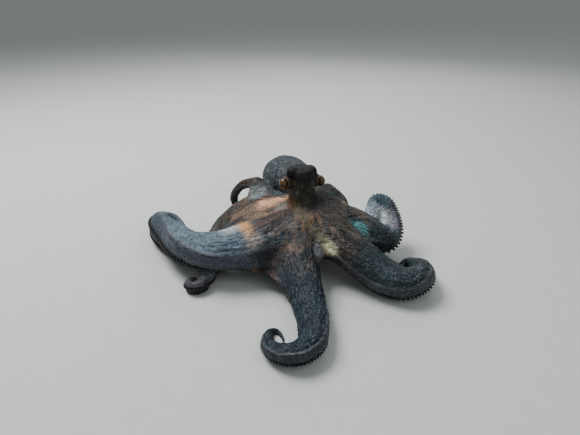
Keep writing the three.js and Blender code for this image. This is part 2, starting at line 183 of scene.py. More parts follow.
class Spline:
    """A centripetal Catmull-Rom curve through knots, read by share of its length."""

    STEPS = 40

    def __init__(self, knots: Iterable[Sequence[float]]) -> None:
        """Sample the curve finely.

        Args:
            knots: Points that the curve passes through.
        """
        p = np.array(list(knots), float)
        p = np.vstack([2 * p[0] - p[1], p, 2 * p[-1] - p[-2]])
        gaps = np.maximum(np.sum(np.diff(p, axis=0) ** 2, axis=1) ** 0.25, 1e-4)[:, None]
        before, here, there, after = p[:-3], p[1:-2], p[2:-1], p[3:]
        d0, d1, d2 = gaps[:-2], gaps[1:-1], gaps[2:]
        leave = ((here - before) / d0 - (there - before) / (d0 + d1) + (there - here) / d1) * d1
        arrive = ((there - here) / d1 - (after - here) / (d1 + d2) + (after - there) / d2) * d1
        t = np.linspace(0, 1, self.STEPS, endpoint=False)[None, :, None]
        here, there = here[:, None], there[:, None]
        leave, arrive = leave[:, None], arrive[:, None]
        run = (
            here
            + leave * t
            + (3 * (there - here) - 2 * leave - arrive) * t**2
            + (2 * (here - there) + leave + arrive) * t**3
        )
        self.points = np.vstack([run.reshape(-1, p.shape[1]), p[-2]])
        steps = np.linalg.norm(np.diff(self.points, axis=0), axis=1)
        self.lengths = np.concatenate([[0.0], np.cumsum(steps)])
        self.length = float(self.lengths[-1])

    def knot_shares(self) -> Array:
        """Return the share of the length that lies before each knot."""
        return self.lengths[:: self.STEPS] / self.length

    def at(self, shares: Array) -> Array:
        """Find the points at shares of the length.

        Args:
            shares: Shares of the length.

        Returns:
            The points.
        """
        where = np.asarray(shares) * self.length
        columns = [np.interp(where, self.lengths, column) for column in self.points.T]
        return np.stack(columns, axis=-1)

    def headings(self, shares: Array) -> Array:
        """Find the tangents at shares of the length.

        Args:
            shares: Shares of the length.

        Returns:
            Unit vectors.
        """
        step = 1.5 / self.length
        ahead = self.at(np.clip(np.asarray(shares) + step, 0, 1))
        return unit(ahead - self.at(np.clip(np.asarray(shares) - step, 0, 1)))

    def upright(self, shares: Array) -> tuple[Array, Array, Array]:
        """Find the line's own directions.

        Args:
            shares: Shares of the length.

        Returns:
            The tangents, the level sideways directions and the upward ones.
        """
        heading = self.headings(shares)
        back = unit(UP - heading * heading[:, 2:3])
        return heading, np.cross(back, heading), back


class Grain:
    """Seeded noise in space, worked out for many points at once."""

    def __init__(self, seed: int) -> None:
        """Draw the tables of the noise.

        Args:
            seed: What the draw starts from.
        """
        draw = np.random.RandomState(seed)
        self.order = np.tile(draw.permutation(256), 3)
        self.slopes = unit(draw.normal(size=(256, 3)))
        self.spots = draw.uniform(size=(256, 3))

    def _pick(self, cell: Array) -> Array:
        """Return a table index for each whole-number cell."""
        c = cell & 255
        return self.order[self.order[self.order[c[..., 0]] + c[..., 1]] + c[..., 2]]

    def waves(self, points: Array, size: float) -> Array:
        """Give soft noise.

        Args:
            points: Places in millimetres.
            size: Width of a wave.

        Returns:
            Values from about -1 to 1.
        """
        p = points / size
        cell = np.floor(p).astype(np.int64)
        inside = p - cell
        ease = inside**3 * (inside * (inside * 6 - 15) + 10)
        total = np.zeros(len(p))
        for corner in np.ndindex(2, 2, 2):
            step = np.array(corner)
            slope = self.slopes[self._pick(cell + step)]
            weight = np.prod(np.where(step == 1, ease, 1 - ease), axis=1)
            total += weight * np.sum(slope * (inside - step), axis=1)
        return total * 1.6

    def layered(self, points: Array, size: float, layers: int = 3) -> Array:
        """Give soft noise in layers, each half as wide and half as strong as the one before."""
        return sum(self.waves(points + 7.3 * k, size / 2**k) / 2**k for k in range(layers))

    def pads(self, points: Array, size: float, edge: float) -> Array:
        """Give the rounded pads of a cell pattern.

        Args:
            points: Places in millimetres.
            size: Spacing of the pads.
            edge: Width of the slope from a seam to the top of a pad, in spacings.

        Returns:
            Values from 0 in the seams to 1 on the pads.
        """
        p = points / size
        cell = np.floor(p).astype(np.int64)
        first = np.full(len(p), 9.0)
        second = np.full(len(p), 9.0)
        for corner in np.ndindex(3, 3, 3):
            home = cell + np.array(corner) - 1
            away = np.linalg.norm(home + self.spots[self._pick(home)] - p, axis=1)
            second = np.minimum(second, np.maximum(first, away))
            first = np.minimum(first, away)
        return np.clip(second - first, 0, edge) / edge


# ------------------------------------------------------------------ lofts and fields


@dataclass
class Loft:
    """A closed tube of rings: its points and the quads between them."""

    points: Array
    quads: Array

    @classmethod
    def through(cls, rings: Array) -> "Loft":
        """Join rings into a closed surface.

        Args:
            rings: An array of rings by points by three, with a small ring at each end.

        Returns:
            The loft, its ends closed by fans.
        """
        rows, sides = rings.shape[:2]
        ends = rings[[0, -1]].mean(axis=1)
        k = np.arange(sides)
        beside = (k + 1) % sides
        start = np.arange(rows - 1)[:, None] * sides
        walls = np.stack([start + k, start + beside, start + sides + beside, start + sides + k], -1)
        first, last = rows * sides, rows * sides + 1
        far = (rows - 1) * sides
        low = np.stack([np.full(sides, first), beside, k, np.full(sides, first)], -1)
        high = np.stack([np.full(sides, last), far + k, far + beside, np.full(sides, last)], -1)
        quads = np.vstack([walls.reshape(-1, 4), low, high])
        return cls(np.vstack([rings.reshape(-1, 3), ends]), quads)

    @classmethod
    def round(cls, centres: Array, side: Array, back: Array, u: Array, v: Array) -> "Loft":
        """Join rings laid round a line.

        Args:
            centres: Points of the line.
            side: A sideways direction at each.
            back: An upward direction at each.
            u: Sideways offsets, rings by points.
            v: Upward offsets, rings by points.

        Returns:
            The closed loft.
        """
        return cls.through(
            centres[:, None] + u[..., None] * side[:, None] + v[..., None] * back[:, None]
        )


class Flesh:
    """A distance field on a grid, into which lofts are melted."""

    LOW = np.array([-256.0, -232.0, -6.0])
    HIGH = np.array([200.0, 248.0, 148.0])
    FAR = 24.0

    def __init__(self, cell: float) -> None:
        """Make an empty field.

        Args:
            cell: Edge of a grid cell in millimetres.
        """
        self.cell = cell
        self.shape = tuple(np.ceil((self.HIGH - self.LOW) / cell).astype(int))
        self.values = np.full(self.shape, self.FAR, np.float32)
        self.grids = np.ogrid[tuple(slice(0, n) for n in self.shape)]

    def _distances(self, loft: Loft) -> tuple[tuple[slice, ...], Array]:
        """Measure signed distances to a loft.

        Args:
            loft: A closed surface.

        Returns:
            The part of the grid near it, and the distances there in millimetres.
        """
        low = np.floor((loft.points.min(axis=0) - self.FAR - self.LOW) / self.cell).astype(int)
        high = np.ceil((loft.points.max(axis=0) + self.FAR - self.LOW) / self.cell).astype(int)
        low, high = np.maximum(low, 0), np.minimum(high, self.shape)
        local = ((loft.points - self.LOW) / self.cell).astype(np.float32)
        grid = vdb.FloatGrid.createLevelSetFromPolygons(
            local, quads=loft.quads.astype(np.uint32), halfWidth=self.FAR / self.cell
        )
        near = np.empty(tuple(high - low), np.float32)
        grid.copyToArray(near, ijk=tuple(int(v) for v in low))
        return tuple(slice(a, b) for a, b in zip(low, high)), near * self.cell

    def _join(self, where: tuple[slice, ...], near: Array, radius: float | Array) -> None:
        """Take the smaller distance, rounded off so that a fillet forms.

        Args:
            where: The part of the grid.
            near: Distances to what is added there.
            radius: Width of the fillet.
        """
        old = self.values[where]
        overlap = np.maximum(radius - np.abs(old - near), 0.0)
        self.values[where] = np.minimum(old, near) - overlap * overlap / (4 * radius)

    def melt(self, loft: Loft, radius: float) -> None:
        """Join a loft on, with a fillet.

        Args:
            loft: The closed surface to add.
            radius: Width of the fillet in millimetres.
        """
        self._join(*self._distances(loft), radius)

    def melt_arm(self, loft: Loft, near_radius: float, far_radius: float, reach: float) -> None:
        """Join an arm on, with a wide fillet by the crown and a slight one further out.

        Args:
            loft: The arm.
            near_radius: Width of the fillet over the crown.
            far_radius: Width of the fillet beyond the reach.
            reach: Distance from the crown's axis at which the fillet is slight.
        """
        where, near = self._distances(loft)
        x = self.LOW[0] + self.cell * self.grids[0][where[0]]
        y = self.LOW[1] + self.cell * self.grids[1][:, where[1]]
        away = smooth_rise(np.hypot(x, y - CROWN_MIDDLE[1]), 0.45 * reach, reach)
        radius = (near_radius + (far_radius - near_radius) * away).astype(np.float32)
        self._join(where, near, radius)

    def hollow(self, loft: Loft) -> None:
        """Cut a loft out of the field."""
        where, near = self._distances(loft)
        self.values[where] = np.maximum(self.values[where], -near)

    def floor(self, height: float) -> None:
        """Cut the field flat at a height."""
        z = self.LOW[2] + self.cell * self.grids[2]
        self.values = np.maximum(self.values, (height - z).astype(np.float32))

    def surface(self) -> tuple[Array, Array]:
        """Mesh the field.

        Returns:
            Points in millimetres and quads.
        """
        grid = vdb.FloatGrid(self.FAR)
        grid.copyFromArray(np.ascontiguousarray(self.values))
        points, triangles, quads = grid.convertToPolygons(isovalue=0.0, adaptivity=0.0)
        if len(triangles):
            raise ValueError("the field's surface isn't all quads")
        return points.astype(float) * self.cell + self.LOW, quads[:, ::-1].astype(int)


# ------------------------------------------------------------------ arms and web


@dataclass
class Arm:
    """One arm: its lie over the floor, its thickness, its section and its suckers.

    A knot is x, y, the height of the arm's underside, and the roll of its back in degrees.
    """

    name: str
    wide: float
    hold: float
    fade: float
    knots: tuple[tuple[float, float, float, float], ...]
    sides: int = 44
    ring_step: float = 1.6
    oral_taper: float = 0.2
    oral_inset: float = 2.2
    keel: float = 0.55
    keel_at: float = 0.04
    keel_spread: float = 0.09
    stations: int = 160
    batch: int = 20000
    line: Spline = field(init=False)

    def __post_init__(self) -> None:
        """Work out the centreline from the knots."""
        table = np.array(self.knots)
        flat = Spline(table[:, :2])
        self.length = flat.length
        shares = flat.knot_shares()
        self.roll_table = (shares, np.radians(table[:, 3]))
        across = self.half_width(shares)
        roll = self.roll_table[1]
        down = np.hypot(across * np.sin(roll), across * ARM_DEPTH * np.cos(roll))
        lift = table[:, 2]
        height = lift + down - np.maximum(SINK - lift, 0)
        self.line = Spline(np.column_stack([table[:, :2], height]))
        self.length = self.line.length

    def half_width(self, shares: Array) -> Array:
        """Return the half width at shares of the length, in millimetres."""
        root = ROOT_SHARE + (1 - ROOT_SHARE) * smooth_rise(shares * self.length, 0, ROOT_LENGTH)
        return TIP_HALF_WIDTH + self.wide * root * (1 - shares**self.hold) ** self.fade

    def frames(self, shares: Array) -> tuple[Array, Array, Array, Array]:
        """Give the moving frame of the arm.

        Args:
            shares: Shares of the length.

        Returns:
            Centres, headings, sideways directions and back directions.
        """
        heading, side, back = self.line.upright(shares)
        roll = np.interp(shares, *self.roll_table)
        back = turn_about(back, heading, roll)
        side = turn_about(side, heading, roll)
        return self.line.at(shares), heading, side, back

    def outline(self, across: Array, angles: Array) -> tuple[Array, Array]:
        """Give the section of the flesh.

        Args:
            across: Half width of each section.
            angles: Angles round it from the sideways direction towards the back.

        Returns:
            Sideways and backward offsets, sections by angles.
        """
        cos, sin = np.cos(angles), np.sin(angles)
        wide = np.sign(cos) * np.abs(cos) ** (2 / SECTION_POWER)
        high = np.sign(sin) * np.abs(sin) ** (2 / SECTION_POWER)
        oral = np.maximum(-sin, 0)
        a = across[:, None]
        inset = np.minimum(self.oral_inset, 0.16 * a) * np.maximum(-high, 0)
        over = (np.sin(angles) - self.keel_at) / self.keel_spread
        ridge = self.keel * np.minimum(a / 14, 1) * np.exp(-over ** 2)
        u = a * wide * (1 - self.oral_taper * oral**1.5) + ridge * np.sign(cos)
        v = a * ARM_DEPTH * high + inset
        return u, v

    def loft(self) -> Loft:
        """Build the flesh.

        Returns:
            The arm as a closed loft.
        """
        rows = int(self.length / self.ring_step)
        shares = np.linspace(0, 1, rows)
        centre, _, side, back = self.frames(shares)
        u, v = self.outline(self.half_width(shares), full_turn(self.sides))
        return Loft.round(centre, side, back, u, v)

    def nearest(self, points: Array) -> tuple[Array, Array, Array]:
        """Find where points lie on the arm.

        Args:
            points: Places in millimetres.

        Returns:
            For each point its share of the length, and its sideways and backward offsets in
            half widths.
        """
        stations = np.linspace(0, 1, self.stations)
        centre, heading, side, back = self.frames(stations)
        across = self.half_width(stations)
        best = np.zeros(len(points), int)
        for start in range(0, len(points), self.batch):
            some = slice(start, start + self.batch)
            away = np.linalg.norm(points[some][:, None] - centre[None], axis=2) / across
            best[some] = np.argmin(away + 0.15 * (away > 1.5), axis=1)
        off = points - centre[best]
        ahead = np.sum(off * heading[best], axis=1)
        shares = np.clip(stations[best] + ahead / self.length, 0, 1)
        u = np.sum(off * side[best], axis=1) / across[best]
        v = np.sum(off * back[best], axis=1) / across[best]
        return shares, u, v


@dataclass(frozen=True)
class WebPanel:
    """A panel of web between two neighbouring arms."""

    name: str
    arms: tuple[str, str]
    reach: tuple[float, float]
    scallop: float
    sag: float
    rise: tuple[float, float]
    thickness: float = 3.2
    rows: int = 26
    columns: int = 40

    def loft(self, arms: dict[str, Arm]) -> Loft:
        """Build the panel.

        Args:
            arms: The arms by name.

        Returns:
            A thin closed sheet.
        """
        over = np.linspace(0, 1, self.columns)[:, None]
        out = np.linspace(0, 1, self.rows)[None]
        bow = 4 * over * (1 - over)
        drawn = out * (1 - self.scallop * bow)
        lift = ARM_DEPTH * (self.rise[0] + (self.rise[1] - self.rise[0]) * out)
        ends = []
        for name, reach in zip(self.arms, self.reach):
            share = 0.02 + (reach - 0.02) * drawn
            end = arms[name].line.at(share)
            end[..., 2] += lift * arms[name].half_width(share)
            ends.append(end)
        sheet = ends[0] * (1 - over[..., None]) + ends[1] * over[..., None]
        sheet[..., 2] -= self.sag * bow * out
        half = self.thickness / 2 * (1 - 0.35 * out**6)[..., None] * UP
        return Loft.through(np.concatenate([sheet + half, (sheet - half)[:, ::-1]], axis=1))


# The arms' courses are the solids' own. Only the back of right_2 is rolled further than there,
# by up to 20 degrees, so that the band along its side shows.
ARMS = (
    Arm("right_1", 18, 6, 2.0, (
        (-2, -30, 46, 0), (-3, -70, 26, 4), (0, -100, 11, 12), (5, -132, 1, 22),
        (8, -168, 0, 34), (5, -194, 0, 44), (-8, -207, 0, 46), (-26, -208, 0, 46),
        (-40, -197, 0, 50), (-44, -180, 0, 58), (-41, -166, 0, 64), (-34, -163, 0, 64),
        (-28, -171, 0, 60), (-26, -178, 0, 56))),
    Arm("right_2", 27.5, 6, 3, (
        (-24, -22, 40, 0), (-54, -42, 30, 4), (-86, -51, 19, 12), (-120, -55, 15, 24),
        (-156, -39, 9, 46), (-191, 5, 0, 72), (-217, 37, 0, 90), (-232, 72, 0, 98),
        (-232, 99, 0, 100), (-219, 107, 0, 96), (-203, 95, 0, 90), (-188, 70, 0, 80))),
    Arm("right_3", 21, 1.5, 0.6, (
        (-32, 12, 44, 0), (-68, 30, 34, 0), (-100, 44, 20, 6), (-120, 34, 6, 8),
        (-128, 8, 0, 4), (-131, -26, 0, 4), (-130, -68, 0, 36), (-135, -88, 0, 72),
        (-146, -90, 0, 76), (-153, -80, 0, 66), (-149, -69, 0, 50), (-140, -69, 0, 40))),
    Arm("right_4", 15, 0.75, 1, (
        (-22, 30, 44, 0), (-42, 52, 42, 0), (-53, 66, 46, 0), (-62, 74, 62, 0),
        (-75, 84, 70, 0), (-91, 92, 67, 0), (-104, 98, 56, 0), (-112, 104, 38, 0),
        (-109, 111, 15, 0), (-97, 119, 0, 0), (-79, 121, 0, 0), (-68, 131, 0, 0),
        (-75, 143, 0, 0), (-86, 139, 0, 0))),
    Arm("left_4", 21, 2, 0.9, (
        (2, 34, 42, 0), (2, 66, 16, 0), (0, 104, 3, 0), (-8, 144, 0, 4), (-12, 184, 0, 10),
        (-2, 216, 0, 18), (18, 226, 0, 22), (30, 214, 0, 20), (26, 200, 0, 14))),
    Arm("left_3", 22, 2, 0.9, (
        (19, 28, 57, 0), (32, 45, 59, 0), (45, 63, 40, 0), (60, 90, 10, 0), (60, 118, 0, 6),
        (44, 136, 0, 14), (27, 128, 0, 20), (28, 111, 0, 20), (38, 106, 0, 14))),
    Arm("left_2", 25.5, 2.6, 1.25, (
        (30, 2, 46, 0), (58, -4, 38, 0), (80, -9, 29, -8), (100, -12, 17, -18),
        (117, -7, 10, -38), (128, 7, 15, -66), (130, 25, 33, -92), (124, 39, 53, -108),
        (111, 43, 61, -114), (100, 35, 56, -112), (100, 24, 49, -108), (107, 19, 46, -104))),
    Arm("left_1", 25.5, 4.5, 1.8, (
        (16, -26, 44, 0), (45, -50, 32, 0), (73, -68, 15, 0), (100, -85, 2, -2),
        (125, -96, 0, -14), (147, -88, 0, -48), (158, -66, 0, -92), (157, -42, 0, -116),
        (148, -29, 0, -122), (139, -34, 0, -120), (142, -43, 0, -110), (152, -42, 0, -100))),
)

WEBS = (
    WebPanel("web_dorsal", ("right_1", "left_1"), (0.3, 0.32), 0.5, 4, (0.7, 0)),
    WebPanel("web_left_1_2", ("left_1", "left_2"), (0.46, 0.48), 0.3, 6, (0.8, 0.1)),
    WebPanel("web_left_2_3", ("left_2", "left_3"), (0.48, 0.42), 0.25, 3, (0.8, 0.5)),
    WebPanel("web_left_3_4", ("left_3", "left_4"), (0.36, 0.34), 0.35, 4, (0.6, 0.2)),
    WebPanel("web_ventral", ("left_4", "right_4"), (0.3, 0.3), 0.35, 4, (0.5, 0)),
    WebPanel("web_right_3_4", ("right_4", "right_3"), (0.32, 0.36), 0.1, -4, (0.85, 0.6)),
    WebPanel("web_right_2_3", ("right_3", "right_2"), (0.36, 0.33), 0.12, 1, (0.85, 0.6)),
    WebPanel("web_right_1_2", ("right_2", "right_1"), (0.42, 0.5), 0.42, 4, (0.7, -0.1)),
)


# ------------------------------------------------------------------ crown, head, mantle, siphon


def level_rings(centres: Array, across: Array, deep: Array, yaw: float, sides: int) -> Array:
    """Make level ellipses one over the other.

    Args:
        centres: Their centres.
        across: Half widths.
        deep: Half depths.
        yaw: Turn about the upright, in radians.
        sides: Points in each.

    Returns:
        Rings by points by three.
    """
    angles = full_turn(sides)
    x = across[:, None] * np.cos(angles)
    y = deep[:, None] * np.sin(angles)
    turned = np.stack([
        x * math.cos(yaw) - y * math.sin(yaw),
        x * math.sin(yaw) + y * math.cos(yaw),
        np.zeros_like(x),
    ], axis=-1)
    return centres[:, None] + turned


def ball(centre: Array, halves: Sequence[float], yaw: float = HEAD_YAW) -> Loft:
    """Make a ball with three half sizes, turned about the upright.

    Args:
        centre: Its centre.
        halves: Half sizes across, along and upward.
        yaw: The turn in radians.

    Returns:
        The closed ball.
    """
    slope = np.linspace(-np.pi / 2, np.pi / 2, 22)[1:-1]
    centres = centre + np.sin(slope)[:, None] * halves[2] * UP
    return Loft.through(
        level_rings(centres, halves[0] * np.cos(slope), halves[1] * np.cos(slope), yaw, 32)
    )


@dataclass
class Crown:
    """The rounded block that carries the arms round the mouth, and the shoulders of web on it."""

    centre: tuple[float, float] = CROWN_MIDDLE
    profile: tuple[tuple[float, float], ...] = (
        (24, 14), (27, 27), (38, 35), (54, 37), (68, 34), (79, 27), (80.6, 20),
    )
    # centre, half sizes, turn in degrees
    shoulders: tuple[tuple[tuple[float, ...], tuple[float, ...], float], ...] = (
        ((-33, 40, 62), (30, 17, 15), -28),
        ((-66, 22, 52), (30, 17, 13), 12),
        ((4, -22, 62), (24, 16, 18), 0),
        ((34, 26, 66), (20, 17, 15), 24),
        ((40, -22, 54), (26, 15, 16), -28),
        ((-38, -18, 52), (26, 16, 16), 22),
    )

    def lofts(self) -> list[Loft]:
        """Build the crown.

        Returns:
            The block and the shoulders.
        """
        curve = Spline([(half, height) for height, half in self.profile])
        half, height = curve.at(np.linspace(0, 1, 30)).T
        centres = np.column_stack([np.tile(self.centre, (len(height), 1)), height])
        block = Loft.through(level_rings(centres, half, half, 0.0, 48))
        humps = [
            ball(np.array(place, float), halves, math.radians(turn))
            for place, halves, turn in self.shoulders
        ]
        return [block, *humps]


@dataclass
class Head:
    """The upright column of the head with its brow horns and the mounds that carry the eyes."""

    # share of the height, half width across the eyes, half depth
    profile: tuple[Place, ...] = (
        (0, 20, 21), (0.12, 20, 22), (0.35, 17.6, 22), (0.55, 16.8, 22), (0.75, 16.8, 21),
        (0.9, 16.5, 18), (0.97, 12, 13), (1, 6, 7),
    )
    brow_out: float = 13.9
    brow_height: float = 128.0
    brow_halves: Place = (8.0, 9.2, 7.4)
    mound_out: float = 19.5
    mound_halves: Place = (10.4, 10.2, 10.2)
    mound_back: float = 4.0

    def column(self) -> Loft:
        """Build the column.

        Returns:
            It as a closed loft.
        """
        shares, across, deep = Spline(self.profile).at(np.linspace(0, 1, 40)).T
        centres = HEAD_FOOT + (HEAD_TOP - HEAD_FOOT) * shares[:, None]
        return Loft.through(level_rings(centres, across, deep, HEAD_YAW, 48))

    def lofts(self) -> list[Loft]:
        """Build the head.

        Returns:
            The column, then the brows and the eyes' mounds.
        """
        pieces = [self.column()]
        for side in Side:
            pieces.append(ball(head_place(side.value * self.brow_out, self.brow_height),
                               self.brow_halves))
            behind = self.mound_back * np.array([-math.sin(HEAD_YAW), math.cos(HEAD_YAW), 0])
            mound = head_place(side.value * self.mound_out, EYE_HEIGHT) + behind
            pieces.append(ball(mound, self.mound_halves))
        return pieces


@dataclass
class Mantle:
    """The bag of the body that trails behind the head."""

    axis: tuple[Place, ...] = ((-4, 34, 96), (-18, 84, 86), (-40, 158, 70))
    # share of the length, half width, half height
    profile: tuple[Place, ...] = (
        (0, 15, 14), (0.12, 21, 20), (0.28, 30, 28), (0.45, 36, 33), (0.6, 38, 34),
        (0.75, 35, 30), (0.88, 26, 22), (0.96, 14, 12), (1, 5, 4),
    )

    def __post_init__(self) -> None:
        """Work out the axis curve."""
        self.line = Spline(self.axis)

    def loft(self) -> Loft:
        """Build the bag.

        Returns:
            It as a closed loft.
        """
        shares, across, high = Spline(self.profile).at(np.linspace(0, 1, 70)).T
        shares = np.clip(shares, 0, 1)
        _, side, back = self.line.upright(shares)
        angles = full_turn(56)
        u, v = across[:, None] * np.cos(angles), high[:, None] * np.sin(angles)
        return Loft.round(self.line.at(shares), side, back, u, v)

    def along(self, points: Array) -> Array:
        """Return how far along the bag's axis each point lies, in millimetres."""
        start, end = np.array(self.axis[0]), np.array(self.axis[-1])
        return (points - start) @ unit(end - start)


@dataclass
class Siphon:
    """The tapered tube under the nape."""

    path: tuple[Place, ...] = ((-2, 36, 76), (0, 52, 62), (6, 66, 50))
    outer: Place = (9.0, 8.0, 6.0)
    bore: float = 3.6
    bore_from: float = 0.62
    rows: int = 24
    sides: int = 24

    def tube(self, start: float, halves: Sequence[float], over: float) -> Loft:
        """Make a tube along the siphon.

        Args:
            start: Share of the length where it starts.
            halves: Half widths, evenly spaced from start to end.
            over: How far it runs past the end, in millimetres.

        Returns:
            The closed tube.
        """
        line = Spline(self.path)
        shares = np.linspace(start, 1, self.rows)
        heading, side, back = line.upright(shares)
        run = np.linspace(0, 1, self.rows)
        half = np.interp(run, np.linspace(0, 1, len(halves)), halves)[:, None]
        centre = line.at(shares) + heading * (run**6 * over)[:, None]
        angles = full_turn(self.sides)
        return Loft.round(centre, side, back, half * np.cos(angles), half * np.sin(angles))


# ------------------------------------------------------------------ colours


def linear(red: int, green: int, blue: int) -> Array:
    """Return a screen colour as the linear numbers that a shader takes."""
    share = np.array([red, green, blue]) / 255
    return np.where(share <= 0.04045, share / 12.92, ((share + 0.055) / 1.055) ** 2.4)


def lay(over: Array, colour: Colour, weight: Array) -> Array:
    """Lay a screen colour over others.

    Args:
        over: Linear colours, a row for each point.
        colour: The screen colour.
        weight: How strongly it covers each point, from 0 to 1.

    Returns:
        The new linear colours.
    """
    return over + (linear(*colour) - over) * weight[:, None]


@dataclass
class Places:
    """Where the points of the skin lie on the animal, with a row for each point."""

    # the nearest arm: its number, the length along it, the angle round it, the offset from its
    # middle in half widths, and its half width in millimetres
    number: Array
    along: Array
    around: Array
    sideways: Array
    width: Array
    # the distance from the crown's axis
    out: Array
    # how much a point belongs to the head, the mantle and an arm, from 0 to 1
    head: Array
    mantle: Array
    arm: Array
    # how far apart the arms lie in the space of the patterns
    apart: float = 31.0

    @property
    def web(self) -> Array:
        """Return how much each point belongs to the web."""
        return np.clip(1 - self.arm - self.head - self.mantle, 0, 1)

    @property
    def oral(self) -> Array:
        """Return how much each point lies on the suckers' side of its arm."""
        return smooth_rise(np.sin(self.around), -0.48, -0.64)

    @property
    def lateral(self) -> Array:
        """Return how much each point lies on the band along the flank of its arm."""
        return smooth_rise(np.sin(self.around), 0.14, 0.0) * (1 - self.oral)

    def unrolled(self, lengthwise: float, girthwise: float = 1.0) -> Array:
        """Return the arms' skin laid flat, for patterns that run along it."""
        wound = self.around * self.width * girthwise
        return np.column_stack([self.along * lengthwise, wound, self.number * self.apart])


@dataclass(frozen=True)
class Tint:
    """A soft patch of colour in space: where it lies, how large it is and how strong."""

    place: Place
    halves: Place
    colour: Colour
    strength: float
    turn: float = 0.0

    def weight(self, points: Array) -> Array:
        """Find how strong the patch is.

        Args:
            points: Places in millimetres.

        Returns:
            A number for each point, from 0 to the patch's strength.
        """
        off = points - np.array(self.place)
        cos, sin = math.cos(math.radians(self.turn)), math.sin(math.radians(self.turn))
        x = off[:, 0] * cos + off[:, 1] * sin
        y = -off[:, 0] * sin + off[:, 1] * cos
        away = np.sqrt(
            (x / self.halves[0]) ** 2 + (y / self.halves[1]) ** 2 + (off[:, 2] / self.halves[2]) ** 2
        )
        return self.strength * smooth_rise(away, 1.4, 0.25)


